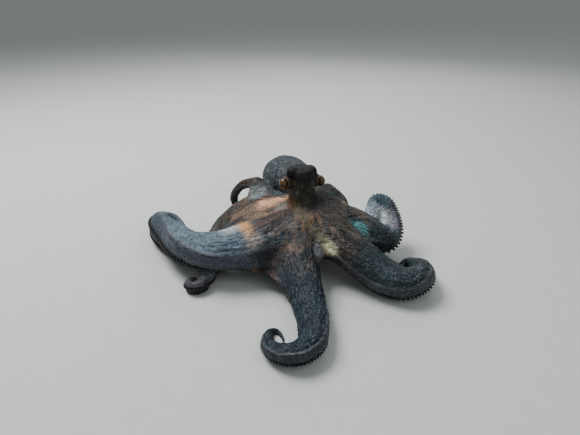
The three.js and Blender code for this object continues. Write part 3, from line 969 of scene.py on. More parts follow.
@dataclass(frozen=True)
class Hide:
    """The ground colours of the skin and the patches that lie over them, some of which are painted
    sunlight, highlights and shade.
    """

    brown: Colour = (52, 40, 31)
    tan: Colour = (132, 104, 84)
    shade: Colour = (26, 22, 20)
    band: Colour = (66, 64, 74)
    keel: Colour = (128, 128, 132)
    oral: Colour = (20, 23, 24)
    # the suckers' side is near-black: partly the suckers' own dark, partly painted shade under the
    # arms
    head: Colour = (46, 42, 35)
    head_light: Colour = (86, 86, 72)
    cap: Colour = (10, 10, 11)
    mantle: Colour = (58, 66, 70)
    lid: Colour = (104, 86, 66)
    # right_2's pale blue-grey ground is partly the arm's own colour and partly painted sunlight over
    # it
    arm_grounds: tuple[tuple[str, Colour], ...] = (
        ("right_1", (24, 40, 50)), ("right_2", (100, 118, 132)), ("right_3", (70, 66, 62)),
        ("right_4", (56, 40, 30)), ("left_4", (56, 54, 52)), ("left_3", (26, 29, 26)),
        ("left_2", (56, 74, 82)), ("left_1", (40, 53, 57)),
    )
    # how strongly the flank's band, the oral side with its painted shade, and the keel line colour
    # an arm
    band_share: float = 0.75
    oral_share: float = 0.85
    keel_share: float = 0.4
    # the tent's colours by its streaks: a start, and a swing with the streak
    tan_by_streak: tuple[float, float] = (0.28, 0.95)
    shade_by_streak: tuple[float, float] = (0.25, -1.4)
    most_shade: float = 0.85
    # where the tent's colours fade out on an arm and where they are full, from the crown's axis
    tent_reach: tuple[float, float] = (128.0, 66.0)
    # soft mottles of brightness: strength and width in millimetres
    arm_mottle: tuple[float, float] = (0.45, 4.2)
    clouds: tuple[float, float] = (0.25, 26.0)
    speckle: tuple[float, float] = (0.16, 5.0)
    # how much of the tent's colours the arms' roots and the web take
    tent_cover: tuple[float, float] = (0.7, 0.92)
    # the stretch of the streaks that fan out from the crown: outward, round and upward
    fan_stretch: Place = (0.26, 52.0, 0.4)
    # the mean of a tint from which its own light drowns the flecks
    bright_from: float = 120.0
    tints: tuple[Tint, ...] = (
        # the dark shoulder left of the head, and its olive and green lights
        Tint((36, 0, 86), (27, 27, 16), (38, 34, 27), 0.92, 10),
        Tint((40, 30, 88), (26, 16, 14), (26, 30, 26), 0.95, 20),
        Tint((38, -36, 80), (22, 16, 12), (42, 34, 27), 0.85, -10),
        Tint((66, -12, 76), (20, 16, 14), (44, 38, 30), 0.85, 5),
        Tint((56, -46, 74), (15, 12, 12), (64, 58, 42), 0.7, -30),
        Tint((44, 24, 88), (12, 9, 8), (38, 60, 52), 0.65, 20),
        Tint((46, -68, 64), (16, 10, 10), (70, 56, 44), 0.7, -35),
        # the peach ridge on the right shoulder, a painted highlight of sunlight, and the pale netted
        # patch by the head
        Tint((-70, 12, 72), (22, 14, 14), (128, 104, 86), 0.75, 25),
        Tint((-46, 20, 78), (27, 13, 13), (252, 190, 150), 1.0, 24),
        Tint((-30, 0, 80), (12, 14, 10), (150, 140, 128), 0.7),
        Tint((-62, -12, 72), (18, 12, 12), (150, 122, 100), 0.6, 20),
        # the head's foot
        Tint((-17, -2, 92), (7, 14, 16), (120, 84, 50), 0.85),
        Tint((14, -10, 90), (14, 12, 16), (50, 42, 46), 0.8),
        # the far shoulder under the arch of the fourth right arm, painted pale grey-blue as sunlight
        # on it
        Tint((-70, 58, 73), (17, 20, 18), (140, 148, 152), 0.85),
        # slate on the coil of the second right arm; on its base painted orange and white highlights
        # of sunlight, painted light on its lower flank, and brown by the crown
        Tint((-212, 34, 40), (44, 66, 50), (62, 74, 84), 0.6),
        Tint((-134, -72, 24), (46, 14, 18), (128, 130, 138), 0.7),
        Tint((-80, -38, 71), (36, 10, 14), (236, 178, 124), 0.9, -66),
        Tint((-102, -36, 66), (14, 24, 14), (206, 212, 220), 0.85, 10),
        Tint((-64, -70, 66), (14, 12, 12), (176, 166, 160), 0.6, 20),
        Tint((-56, -38, 74), (16, 20, 12), (62, 42, 32), 0.8, -60),
        Tint((-32, -22, 78), (16, 14, 10), (70, 48, 36), 0.75, 10),
        # the yellow band from the head to the free edge of the web, a painted streak of caustic
        # sunlight
        Tint((-9, -20, 85), (8, 12, 10), (100, 84, 54), 0.6),
        Tint((2, -36, 81), (7, 14, 10), (100, 86, 54), 0.7, 30),
        Tint((12, -51, 72), (7, 14, 10), (94, 86, 64), 0.7, 46),
        Tint((26, -64, 62), (6, 19, 14), (126, 120, 94), 0.75, 46),
        Tint((33, -72, 57), (7, 11, 10), (230, 226, 188), 0.95, 46),
        Tint((19, -72, 51), (7, 17, 14), (138, 146, 158), 0.6, 20),
        # the pale netted field before the head, and the dim web beyond
        Tint((-20, -40, 74), (12, 15, 10), (108, 102, 98), 0.65),
        Tint((-6, -64, 64), (14, 16, 12), (58, 56, 58), 0.75),
        Tint((-36, -76, 46), (26, 18, 16), (66, 60, 62), 0.75),
        Tint((-24, -98, 30), (20, 26, 24), (44, 52, 60), 0.9),
        # the first left arm: brown base, and a teal flash that is a painted glint of caustic light
        Tint((57, -80, 60), (18, 12, 12), (66, 52, 48), 0.7, -30),
        Tint((76, -32, 65), (17, 8, 12), (96, 158, 162), 0.85, -20),
        # the second left arm: pale cup and white patch as painted sunlight, blue top, and a dark
        # fold with near-black under it as painted shade
        Tint((98, 26, 61), (19, 18, 17), (196, 216, 228), 0.95),
        Tint((114, 14, 53), (15, 18, 15), (226, 232, 230), 0.9),
        Tint((116, 38, 74), (20, 12, 12), (74, 100, 112), 0.85),
        Tint((128, 2, 56), (10, 18, 16), (150, 144, 156), 0.75),
        Tint((112, -28, 50), (22, 10, 10), (42, 46, 52), 0.85),
        Tint((116, -30, 28), (30, 20, 18), (14, 18, 17), 0.95),
        # a dark spot on the third right arm
        Tint((-112, 4, 46), (9, 12, 12), (34, 56, 56), 0.9),
    )

    def arm_skin(self, where: Places, names: Iterable[str], grain: Grain) -> Array:
        """Give the colours of the arms' skin.

        Args:
            where: Where the points lie.
            names: The arms' names in the order of their numbers.
            grain: The noise of the colours.

        Returns:
            Linear colours.
        """
        grounds = dict(self.arm_grounds)
        colours = np.array([linear(*grounds[name]) for name in names])[where.number.astype(int)]
        keel = np.exp(-((np.sin(where.around) - 0.09) / 0.07) ** 2) * smooth_rise(where.width, 3, 9)
        colours = lay(colours, self.band, self.band_share * where.lateral)
        colours = lay(colours, self.oral, self.oral_share * where.oral)
        colours = lay(colours, self.keel, self.keel_share * keel)
        strength, size = self.arm_mottle
        mottle = grain.layered(where.unrolled(0.22, 1.1), size, 3)
        return colours * (1 + strength * mottle)[:, None]

    def tent(self, count: int, streaks: Array) -> Array:
        """Give the streaked brown of the web and of the arms' roots.

        Args:
            count: How many points.
            streaks: The noise that fans out from the crown.

        Returns:
            Linear colours.
        """
        start, swing = self.tan_by_streak
        ground = np.broadcast_to(linear(*self.brown), (count, 3))
        colours = lay(ground, self.tan, np.clip(start + swing * streaks, 0, 1))
        start, swing = self.shade_by_streak
        return lay(colours, self.shade, np.clip(start + swing * streaks, 0, self.most_shade))

    def with_tints(self, colours: Array, points: Array, where: Places,
                   ragged: Array) -> tuple[Array, Array]:
        """Lay the patches over the skin, apart from the upper head; some are painted sunlight,
        highlights and shade.

        Args:
            colours: Linear colours.
            points: Places in millimetres.
            where: Where they lie.
            ragged: What frays the edges of the patches, about 1.

        Returns:
            The new colours, and how much bright patches cover each point.
        """
        upper_head = where.head * smooth_rise(points[:, 2], 90, 106)
        open_to_tints = smooth_rise(points[:, 2], 1, 6) * (1 - upper_head)
        bright = np.zeros(len(points))
        for tint in self.tints:
            weight = np.clip(tint.weight(points) * ragged, 0, 1) * open_to_tints
            colours = lay(colours, tint.colour, weight)
            bright = bright + weight * (np.mean(tint.colour) > self.bright_from)
        return colours, bright

    def face(self, colours: Array, points: Array, where: Places) -> Array:
        """Lay the dark cap and the eyelids over the head.

        Args:
            colours: Linear colours.
            points: Places in millimetres.
            where: Where they lie.

        Returns:
            The new colours.
        """
        cap = smooth_rise(points[:, 2], 116, 124) * where.head
        colours = lay(colours, self.cap, 0.92 * cap)
        for side in Side:
            colours = lay(colours, self.lid, 0.8 * smooth_rise(from_eye(points, side), 11.0, 9.0))
        return colours

    def paint(self, points: Array, where: Places, names: Iterable[str]) -> tuple[Array, Array]:
        """Give the ground colour of the skin and how strongly it is flecked.

        Args:
            points: Places in millimetres.
            where: Where they lie.
            names: The arms' names in the order of their numbers.

        Returns:
            Linear colours, and the strength of the pale flecks from 0 to 1.
        """
        grain = Grain(23)
        colours = self.arm_skin(where, names, grain)
        x, y = points[:, 0], points[:, 1] - CROWN_MIDDLE[1]
        fan = np.column_stack([where.out, np.arctan2(x, y), points[:, 2]]) * self.fan_stretch
        streaks = grain.layered(fan, 7.0, 3)
        inner = smooth_rise(where.out, *self.tent_reach) * (1 - where.oral) * (1 - where.web)
        root_cover, web_cover = self.tent_cover
        share = np.clip(root_cover * inner + web_cover * where.web, 0, 1)
        colours = colours + (self.tent(len(points), streaks) - colours) * share[:, None]
        strength, size = self.clouds
        colours = colours * (1 + strength * grain.layered(points, size, 3))[:, None]
        colours = lay(colours, self.mantle, where.mantle)
        colours = lay(colours, self.head, where.head)
        glow = 0.15 + 0.9 * grain.layered(points * [1, 1, 0.45], 8.0, 3)
        colours = lay(colours, self.head_light, where.head * np.clip(glow, 0, 1))
        ragged = 1 + 0.5 * grain.layered(points, 8.0, 3) + 0.3 * streaks
        colours, bright = self.with_tints(colours, points, where, ragged)
        colours = colours * (1 + 0.3 * streaks * inner)[:, None]
        colours = self.face(colours, points, where)
        strength, size = self.speckle
        colours = colours * (1 + strength * grain.layered(points, size, 2))[:, None]
        flecks = 0.9 * (1 - where.lateral * 0.45) * (1 - where.oral * 0.85)
        flecks = flecks * (1 - where.head * 0.8) * (1 - 0.45 * np.clip(bright, 0, 1))
        flecks = flecks * (1 - 0.35 * where.web) + 0.2 * where.mantle
        return np.clip(colours, 0.002, 1), np.clip(flecks, 0, 1)


# ------------------------------------------------------------------ the skin


@dataclass(frozen=True)
class Creases:
    """The relief of the skin: for each kind its height and the width of one, in millimetres."""

    arm_scales: tuple[float, float] = (0.75, 3.4)
    arm_streaks: tuple[float, float] = (0.65, 4.5)
    oral_ribs: tuple[float, float] = (0.6, 5.0)
    web_folds: tuple[float, float] = (1.9, 15.0)
    web_pads: float = 0.8
    head_pads: float = 0.55
    pad_width: float = 6.5
    mantle_pads: tuple[float, float] = (0.95, 5.2)
    mantle_folds: tuple[float, float] = (1.1, 17.0)
    head_folds: tuple[float, float] = (0.9, 9.0)

    def on_arms(self, where: Places, grain: Grain) -> Array:
        """Give the heights of scales and streaks over the arms' backs, and of ribs under them.

        Args:
            where: Where the points lie.
            grain: The noise of the relief.

        Returns:
            Heights in millimetres.
        """
        lie = where.unrolled(0.34)
        above = np.clip((np.sin(where.around) - 0.05) * 6, 0, 1)
        girth = np.clip(where.width / 12, 0.25, 1.4)
        scales = grain.pads(lie / girth[:, None], self.arm_scales[1], 0.6)
        streaks = grain.layered(lie, self.arm_streaks[1], 2)
        across = np.column_stack([where.along, where.sideways * 6, where.number * 17.0])
        ribs = grain.waves(across, self.oral_ribs[1])
        back = self.arm_scales[0] * scales + self.arm_streaks[0] * streaks
        return girth * (above * back + (1 - above) * self.oral_ribs[0] * ribs)

    def heights(self, points: Array, normals: Array, where: Places) -> Array:
        """Give the heights of all creases, folds and bumps over the smooth skin.

        Args:
            points: Places in millimetres.
            normals: Their outward directions.
            where: Where they lie on the animal.

        Returns:
            Heights in millimetres.
        """
        grain = Grain(11)
        pads = grain.pads(points, self.pad_width, 0.55)
        web = self.web_folds[0] * grain.layered(points * [1.0, 1.0, 1.6], self.web_folds[1], 3)
        web = web + self.web_pads * pads
        mantle = self.mantle_pads[0] * grain.pads(points + 40, self.mantle_pads[1], 0.55)
        mantle = mantle + self.mantle_folds[0] * grain.layered(points, self.mantle_folds[1], 3)
        head = self.head_folds[0] * grain.layered(points * [1, 1, 0.5], self.head_folds[1], 3)
        off_eyes = np.minimum(*(from_eye(points, side) for side in Side))
        head = (head + self.head_pads * pads) * smooth_rise(off_eyes, 9, 13)
        total = where.arm * self.on_arms(where, grain) + where.web * web
        total = total + where.mantle * mantle + where.head * head
        facing_down = smooth_rise(-normals[:, 2], 0.3, 0.9) * (where.arm < 0.5)
        return total * (1 - 0.5 * facing_down) * smooth_rise(points[:, 2], 0.6, 5)


@dataclass
class Skin:
    """The one skin over arms, web, crown, head, mantle and siphon."""

    cell: float
    arms: dict[str, Arm]
    webs: Sequence[WebPanel]
    crown: Crown
    head: Head
    mantle: Mantle
    siphon: Siphon
    hide: Hide = Hide()
    creases: Creases = Creases()
    crown_fillet: float = 22.0
    arm_fillet: float = 3.0
    fillet_reach: float = 125.0
    web_fillet: float = 20.0
    head_fillet: float = 10.0
    brow_fillet: float = 3.5
    mantle_fillet: float = 9.0
    siphon_fillet: float = 4.0
    arm_margin: float = 34.0
    # the web drawn up inside the raised curl of an arm: centre, half sizes and fillet
    curl_web: tuple[tuple[float, ...], tuple[float, ...], float] = (
        (106.0, 29.0, 55.0), (11.0, 8.0, 15.0), 9.0,
    )

    def field(self) -> Flesh:
        """Melt every part of the flesh together.

        Returns:
            The field.
        """
        flesh = Flesh(self.cell)
        for loft in self.crown.lofts():
            flesh.melt(loft, self.crown_fillet)
        column, *mounds = self.head.lofts()
        flesh.melt(column, self.head_fillet)
        for mound in mounds:
            flesh.melt(mound, self.brow_fillet)
        for name, arm in self.arms.items():
            flesh.melt_arm(arm.loft(), self.crown_fillet, self.arm_fillet, self.fillet_reach)
            logger.info("melted arm %s", name)
        for web in self.webs:
            flesh.melt(web.loft(self.arms), self.web_fillet)
            logger.info("melted %s", web.name)
        place, halves, radius = self.curl_web
        flesh.melt(ball(np.array(place), halves, 0.0), radius)
        flesh.melt(self.siphon.tube(0, self.siphon.outer, 0), self.siphon_fillet)
        flesh.hollow(self.siphon.tube(self.siphon.bore_from, [self.siphon.bore] * 2, 3.0))
        flesh.melt(self.mantle.loft(), self.mantle_fillet)
        for side in Side:
            eye = head_place(side.value * (EYE_OUT + 0.5), EYE_HEIGHT)
            flesh.hollow(ball(eye, EYE_HALVES - 0.1))
        flesh.floor(SOLE_CUT)
        return flesh

    def locate(self, points: Array) -> Places:
        """Work out where points of the skin lie on the animal.

        Args:
            points: Places in millimetres.

        Returns:
            Their places, a row for each point.
        """
        count = len(points)
        best, width = np.full(count, 9.0), np.ones(count)
        number, along, around, sideways = np.zeros((4, count))
        for k, arm in enumerate(self.arms.values()):
            low = arm.line.points.min(axis=0) - self.arm_margin
            high = arm.line.points.max(axis=0) + self.arm_margin
            close = np.where(np.all((points > low) & (points < high), axis=1))[0]
            share, u, v = arm.nearest(points[close])
            away = np.hypot(u, v / ARM_DEPTH)
            wins = away < best[close]
            mine = close[wins]
            best[mine], number[mine] = away[wins], k
            along[mine], width[mine] = share[wins] * arm.length, arm.half_width(share[wins])
            around[mine], sideways[mine] = np.arctan2(v[wins], u[wins]), u[wins]
        out = np.hypot(points[:, 0], points[:, 1] - CROWN_MIDDLE[1])
        x, y, z = points.T
        rise = (z - HEAD_FOOT[2]) / (HEAD_TOP[2] - HEAD_FOOT[2])
        axis = HEAD_FOOT + (HEAD_TOP - HEAD_FOOT) * rise[:, None]
        off_head = np.hypot(x - axis[:, 0], y - axis[:, 1])
        head = smooth_rise(z, 74, 88) * smooth_rise(off_head, 36, 30)
        bag = self.mantle.along(points)
        bag_line = self.mantle.line.at(np.clip(bag / self.mantle.line.length, 0, 1))
        off_bag = np.linalg.norm(points - bag_line, axis=1)
        mantle = smooth_rise(off_bag, 46, 38) * smooth_rise(bag, -6, 8) * (1 - head)
        mantle = mantle * smooth_rise(z, 36, 44) * smooth_rise(best, 0.95, 1.12)
        arm_share = smooth_rise(best, 1.45, 1.1) * smooth_rise(out, 34, 74)
        arm_share = arm_share * (1 - head) * (1 - mantle)
        return Places(number, along, around, sideways, width, out, head, mantle, arm_share)

    def build(self) -> bpy.types.Object:
        """Make the skin, dress it and set it in the frame.

        Returns:
            The mesh object.
        """
        points, quads = self.field().surface()
        normals = vertex_normals(points, quads)
        where = self.locate(points)
        points = points + normals * self.creases.heights(points, normals, where)[:, None]
        points[:, 2] = np.maximum(points[:, 2], SKIN_FLOOR)
        # the colours carry the painted sunlight, highlights and shade of the patches
        colour, flecks = self.hide.paint(points, where, self.arms)
        loose = points * (0.8 - 0.35 * where.mantle)[:, None] + 300
        lie = np.where((where.arm > 0.5)[:, None], where.unrolled(0.5), loose)
        piece = to_object("octopus_skin", points, quads)
        give(piece, "ground", Stored.COLOUR, np.column_stack([colour, np.ones(len(colour))]))
        give(piece, "fleck", Stored.NUMBER, flecks)
        give(piece, "lie", Stored.VECTOR, lie)
        piece.data.materials.append(WetSkin().material())
        return piece


def vertex_normals(points: Array, quads: Array) -> Array:
    """Find the normals of a quad mesh.

    Args:
        points: Places in millimetres.
        quads: Its faces.

    Returns:
        The outward unit normal at each point.
    """
    a, b, c, d = (points[quads[:, k]] for k in range(4))
    faces = np.cross(c - a, d - b)
    total = np.stack([
        sum(np.bincount(quads[:, k], faces[:, axis], len(points)) for k in range(4))
        for axis in range(3)
    ], axis=1)
    return unit(total)


# ------------------------------------------------------------------ meshes for Blender


def put(name: str, data: bpy.types.ID) -> bpy.types.Object:
    """Make an object and link it to the scene.

    Args:
        name: Its name.
        data: Its mesh, camera or light.

    Returns:
        The object.
    """
    item = bpy.data.objects.new(name, data)
    bpy.context.scene.collection.objects.link(item)
    return item


def to_frame(points: Array) -> Array:
    """Return places in the shared frame in metres, from millimetres round the crown."""
    return (np.asarray(points) + OFFSET) * MM


def to_object(name: str, points: Array, quads: Array) -> bpy.types.Object:
    """Make a smooth mesh object.

    Args:
        name: Its name.
        points: Places in millimetres.
        quads: Faces of four; a face whose first and last corner agree is a triangle.

    Returns:
        The object, linked to the scene and riding on the body.
    """
    mesh = bpy.data.meshes.new(name)
    is_triangle = quads[:, 0] == quads[:, 3]
    counts = np.where(is_triangle, 3, 4)
    starts = np.concatenate([[0], np.cumsum(counts)[:-1]])
    keep = np.ones(quads.shape, bool)
    keep[is_triangle, 3] = False
    mesh.vertices.add(len(points))
    mesh.loops.add(int(counts.sum()))
    mesh.polygons.add(len(quads))
    mesh.vertices.foreach_set("co", to_frame(points).astype(np.float32).ravel())
    mesh.loops.foreach_set("vertex_index", quads[keep].astype(np.int32))
    mesh.polygons.foreach_set("loop_start", starts.astype(np.int32))
    mesh.polygons.foreach_set("use_smooth", np.ones(len(quads), bool))
    mesh.update(calc_edges=True)
    mesh.validate()
    piece = put(name, mesh)
    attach(piece, BODY)
    logger.info("made %s with %d faces", name, len(quads))
    return piece


def give(piece: bpy.types.Object, name: str, stored: Stored, values: Array) -> None:
    """Store values for the vertices of a mesh.

    Args:
        piece: The mesh object.
        name: What its material reads them by.
        stored: Their kind.
        values: A row for each vertex.
    """
    kind, slot = stored.value
    layer = piece.data.attributes.new(name, kind, "POINT")
    layer.data.foreach_set(slot, values.astype(np.float32).ravel())


# ------------------------------------------------------------------ suckers


@dataclass
class Suckers:
    """Two rows of suckers along the oral side of an arm."""

    arm: Arm
    scale: float = 1.0
    first: float = 26.0
    last: float = 2.5
    spacing: float = 0.065
    least_spacing: float = 1.55
    radius: float = 0.048
    least_radius: float = 0.38
    row_out: float = 0.46
    flare: float = 0.55
    sides: int = 10
    wobble: float = 0.05
    hub_height: float = 0.68
    # how dark the hub is painted, as painted shade at the bottom of the cup, on the scale of the
    # profile's heights
    hub_shade: float = 0.3
    # distance from the middle in radii, height over the arm in radii
    profile: tuple[tuple[float, float], ...] = (
        (0.95, -0.8), (0.88, 0.4), (1.02, 0.95), (1.0, 1.25), (0.8, 1.35), (0.5, 1.0),
        (0.16, 0.7),
    )

    def shares(self) -> Array:
        """Space the suckers out, the two rows in turn.

        Returns:
            The shares of the arm's length at which they sit.
        """
        places = []
        s = self.first
        while s < self.arm.length - self.last:
            places.append(s / self.arm.length)
            half = float(self.arm.half_width(np.array([s / self.arm.length]))[0])
            s += self.scale * (self.spacing * half + self.least_spacing) / 2
        return np.array(places)

    def seats(self, shares: Array, half: Array) -> tuple[Array, Array, Array, Array]:
        """Find where suckers sit and which way they face.

        Args:
            shares: Shares of the arm's length.
            half: The arm's half widths there.

        Returns:
            Their roots, outward directions, headings and the directions across.
        """
        centre, heading, side, back = self.arm.frames(shares)
        sign = np.where(np.arange(len(shares)) % 2 == 0, 1.0, -1.0)
        angle = -np.pi / 2 + sign * np.arcsin(self.row_out)
        u, v = np.empty(len(shares)), np.empty(len(shares))
        for k, turn in enumerate(angle):
            across, high = self.arm.outline(half[k:k + 1], np.array([turn]))
            u[k], v[k] = across[0, 0], high[0, 0]
        outward = unit(-back + (self.flare * sign)[:, None] * side)
        root = centre + u[:, None] * side + v[:, None] * back
        return root, outward, heading, np.cross(outward, heading)

    def faces(self) -> Array:
        """Join the rings of one sucker, and close its cup with a fan to its hub.

        Returns:
            Its quads; the hub is its last point.
        """
        rows = len(self.profile)
        k = np.arange(self.sides)
        beside = (k + 1) % self.sides
        start = np.arange(rows - 1)[:, None] * self.sides
        walls = np.stack([start + k, start + beside, start + self.sides + beside,
                          start + self.sides + k], -1).reshape(-1, 4)
        top = (rows - 1) * self.sides
        hub = np.full(self.sides, rows * self.sides)
        return np.vstack([walls, np.stack([top + k, top + beside, hub, top + k], -1)])

    def build(self) -> bpy.types.Object:
        """Make every sucker of the arm.

        Returns:
            One mesh object that holds them all.
        """
        shares = self.shares()
        half = self.arm.half_width(shares)
        root, outward, heading, across = self.seats(shares, half)
        size = self.scale * (self.radius * half + self.least_radius)
        turns = full_turn(self.sides)
        wobble = 1 + self.wobble * np.cos(turns * 5)
        flat = (np.cos(turns) * wobble)[None, :, None] * heading[:, None, :]
        flat = flat + (np.sin(turns) * wobble)[None, :, None] * across[:, None, :]
        rings = np.array(self.profile)
        wide = rings[None, :, 0, None, None] * size[:, None, None, None]
        high = rings[None, :, 1, None, None] * size[:, None, None, None]
        points = root[:, None, None] + wide * flat[:, None] + high * outward[:, None, None]
        hub = root + outward * (self.hub_height * size)[:, None]
        count = len(shares)
        points = np.concatenate([points.reshape(count, -1, 3), hub[:, None]], axis=1)
        quads = np.arange(count)[:, None, None] * points.shape[1] + self.faces()
        points = points.reshape(-1, 3)
        points[:, 2] = np.maximum(points[:, 2], SUCKER_FLOOR)
        # the heights of the rings, by which the material paints shade low on the stalk and deep in
        # the cup
        depth = np.concatenate([np.repeat(rings[:, 1], self.sides), [self.hub_shade]])
        piece = to_object("suckers_" + self.arm.name, points, quads.reshape(-1, 4))
        give(piece, "rim", Stored.NUMBER, np.tile(depth, count))
        piece.data.materials.append(SuckerFlesh().material())
        return piece


# ------------------------------------------------------------------ eyes


@dataclass
class Eye:
    """An eyeball with a gold iris and a level slit pupil."""

    side: Side
    gaze_forward: float = math.radians(38)
    rings: int = 48
    sides: int = 72
    cornea: float = 0.5

    def build(self) -> bpy.types.Object:
        """Make the eyeball.

        Returns:
            The mesh object.
        """
        centre = head_place(self.side.value * EYE_OUT, EYE_HEIGHT)
        out = self.side.value * np.array([math.cos(HEAD_YAW), math.sin(HEAD_YAW), 0.0])
        ahead = np.array([math.sin(HEAD_YAW), -math.cos(HEAD_YAW), 0.0])
        gaze = out * math.cos(self.gaze_forward) + ahead * math.sin(self.gaze_forward)
        along = np.cross(UP, gaze)
        slope = np.linspace(0, np.pi, self.rings + 2)[1:-1]
        turns = full_turn(self.sides)
        wide = np.sin(slope)[:, None]
        look = np.stack([
            wide * np.cos(turns), wide * np.sin(turns),
            np.repeat(np.cos(slope)[:, None], self.sides, 1),
        ], axis=-1)
        shape = look[..., :1] * along + look[..., 1:2] * UP + look[..., 2:] * gaze
        radial = np.stack([shape @ out, shape @ ahead, shape[..., 2]], axis=-1)
        bulge = self.cornea * np.exp(-(slope / 0.62) ** 2)[:, None, None] * shape
        ball_points = (
            centre + radial[..., :1] * EYE_HALVES[0] * out + radial[..., 1:2] * EYE_HALVES[1] * ahead
            + radial[..., 2:] * EYE_HALVES[2] * UP + bulge
        )
        loft = Loft.through(ball_points[::-1])
        looks = np.vstack([look[::-1].reshape(-1, 3), [[0, 0, -1], [0, 0, 1]]])
        piece = to_object(f"eyeball_{self.side.name.lower()}", loft.points, loft.quads)
        give(piece, "look", Stored.VECTOR, looks)
        piece.data.materials.append(EyeGold().material())
        return piece


# ------------------------------------------------------------------ finishes


class Desk:
    """A material's node tree, with short ways to add and join nodes."""

    def __init__(self, name: str) -> None:
        """Start a material that holds a shader and an output.

        Args:
            name: The material's name.
        """
        self.material = bpy.data.materials.new(name)
        self.material.use_nodes = True
        self.tree = self.material.node_tree
        self.shader = self.tree.nodes["Principled BSDF"]

    def node(self, kind: str, **settings: object) -> Node:
        """Add a node.

        Args:
            kind: Blender's name of its kind.
            settings: Its plain settings by name.

        Returns:
            The node.
        """
        node = self.tree.nodes.new(kind)
        for name, value in settings.items():
            setattr(node, name, value)
        return node

    def join(self, source: Socket, target: Socket) -> None:
        """Link one socket to another."""
        self.tree.links.new(source, target)

    def attribute(self, name: str) -> Node:
        """Add a reader of a mesh attribute."""
        return self.node("ShaderNodeAttribute", attribute_name=name)

    def maths(self, operation: str, *values: object) -> Socket:
        """Add a sum of sockets or numbers.

        Args:
            operation: Blender's name of the sum.
            values: Sockets or numbers that go in.

        Returns:
            The result's socket.
        """
        node = self.node("ShaderNodeMath", operation=operation)
        for socket, value in zip(node.inputs, values):
            if isinstance(value, (int, float)):
                socket.default_value = value
            else:
                self.join(value, socket)
        return node.outputs[0]

    def spread(self, source: Socket, low: float, high: float, to_low: float = 0.0,
               to_high: float = 1.0) -> Socket:
        """Map a range of values smoothly onto another.

        Args:
            source: What is mapped.
            low: Start of its range.
            high: End of its range.
            to_low: What the start becomes.
            to_high: What the end becomes.

        Returns:
            The mapped value's socket.
        """
        node = self.node("ShaderNodeMapRange", interpolation_type="SMOOTHSTEP")
        self.join(source, node.inputs[0])
        for socket, value in zip(list(node.inputs)[1:5], (low, high, to_low, to_high)):
            socket.default_value = value
        return node.outputs[0]

    def noise(self, vector: Socket, scale: float, detail: float = 3.0) -> Socket:
        """Add soft noise.

        Args:
            vector: What it lies over.
            scale: Waves for each unit.
            detail: How many finer layers.

        Returns:
            The noise's socket.
        """
        node = self.node("ShaderNodeTexNoise")
        self.join(vector, node.inputs["Vector"])
        node.inputs["Scale"].default_value = scale
        node.inputs["Detail"].default_value = detail
        return node.outputs["Fac"]

    def cells(self, vector: Socket, scale: float, feature: str = "F1") -> Node:
        """Add a cell pattern.

        Args:
            vector: What it lies over.
            scale: Cells for each unit.
            feature: Blender's name of what it measures.

        Returns:
            The node.
        """
        node = self.node("ShaderNodeTexVoronoi", feature=feature)
        self.join(vector, node.inputs["Vector"])
        node.inputs["Scale"].default_value = scale
        return node

    def blend(self, share: object, first: object, second: object, way: str = "MIX") -> Socket:
        """Mix two colours.

        Args:
            share: How much of the second, a socket or a number.
            first: A colour socket or three linear numbers.
            second: Another.
            way: Blender's name of the mixing.

        Returns:
            The mixed colour's socket.
        """
        node = self.node("ShaderNodeMix", data_type="RGBA", blend_type=way)
        for socket, value in ((node.inputs[0], share), (node.inputs[6], first),
                              (node.inputs[7], second)):
            if isinstance(value, bpy.types.NodeSocket):
                self.join(value, socket)
            elif isinstance(value, (int, float)):
                socket.default_value = value
            else:
                socket.default_value = (*value, 1.0)
        return node.outputs[2]

    def bump(self, height: Socket, depth: float, strength: float = 1.0) -> None:
        """Press a height pattern into the shader's surface.

        Args:
            height: The pattern's socket.
            depth: Its depth in metres.
            strength: How strongly it shades.
        """
        node = self.node("ShaderNodeBump")
        node.inputs["Strength"].default_value = strength
        node.inputs["Distance"].default_value = depth
        self.join(height, node.inputs["Height"])
        self.join(node.outputs["Normal"], self.shader.inputs["Normal"])

    def settle(self, **values: float) -> None:
        """Set plain numbers on the shader, its socket names in lower case with underscores."""
        names = {socket.name.lower().replace(" ", "_"): socket for socket in self.shader.inputs}
        for name, value in values.items():
            names[name].default_value = value


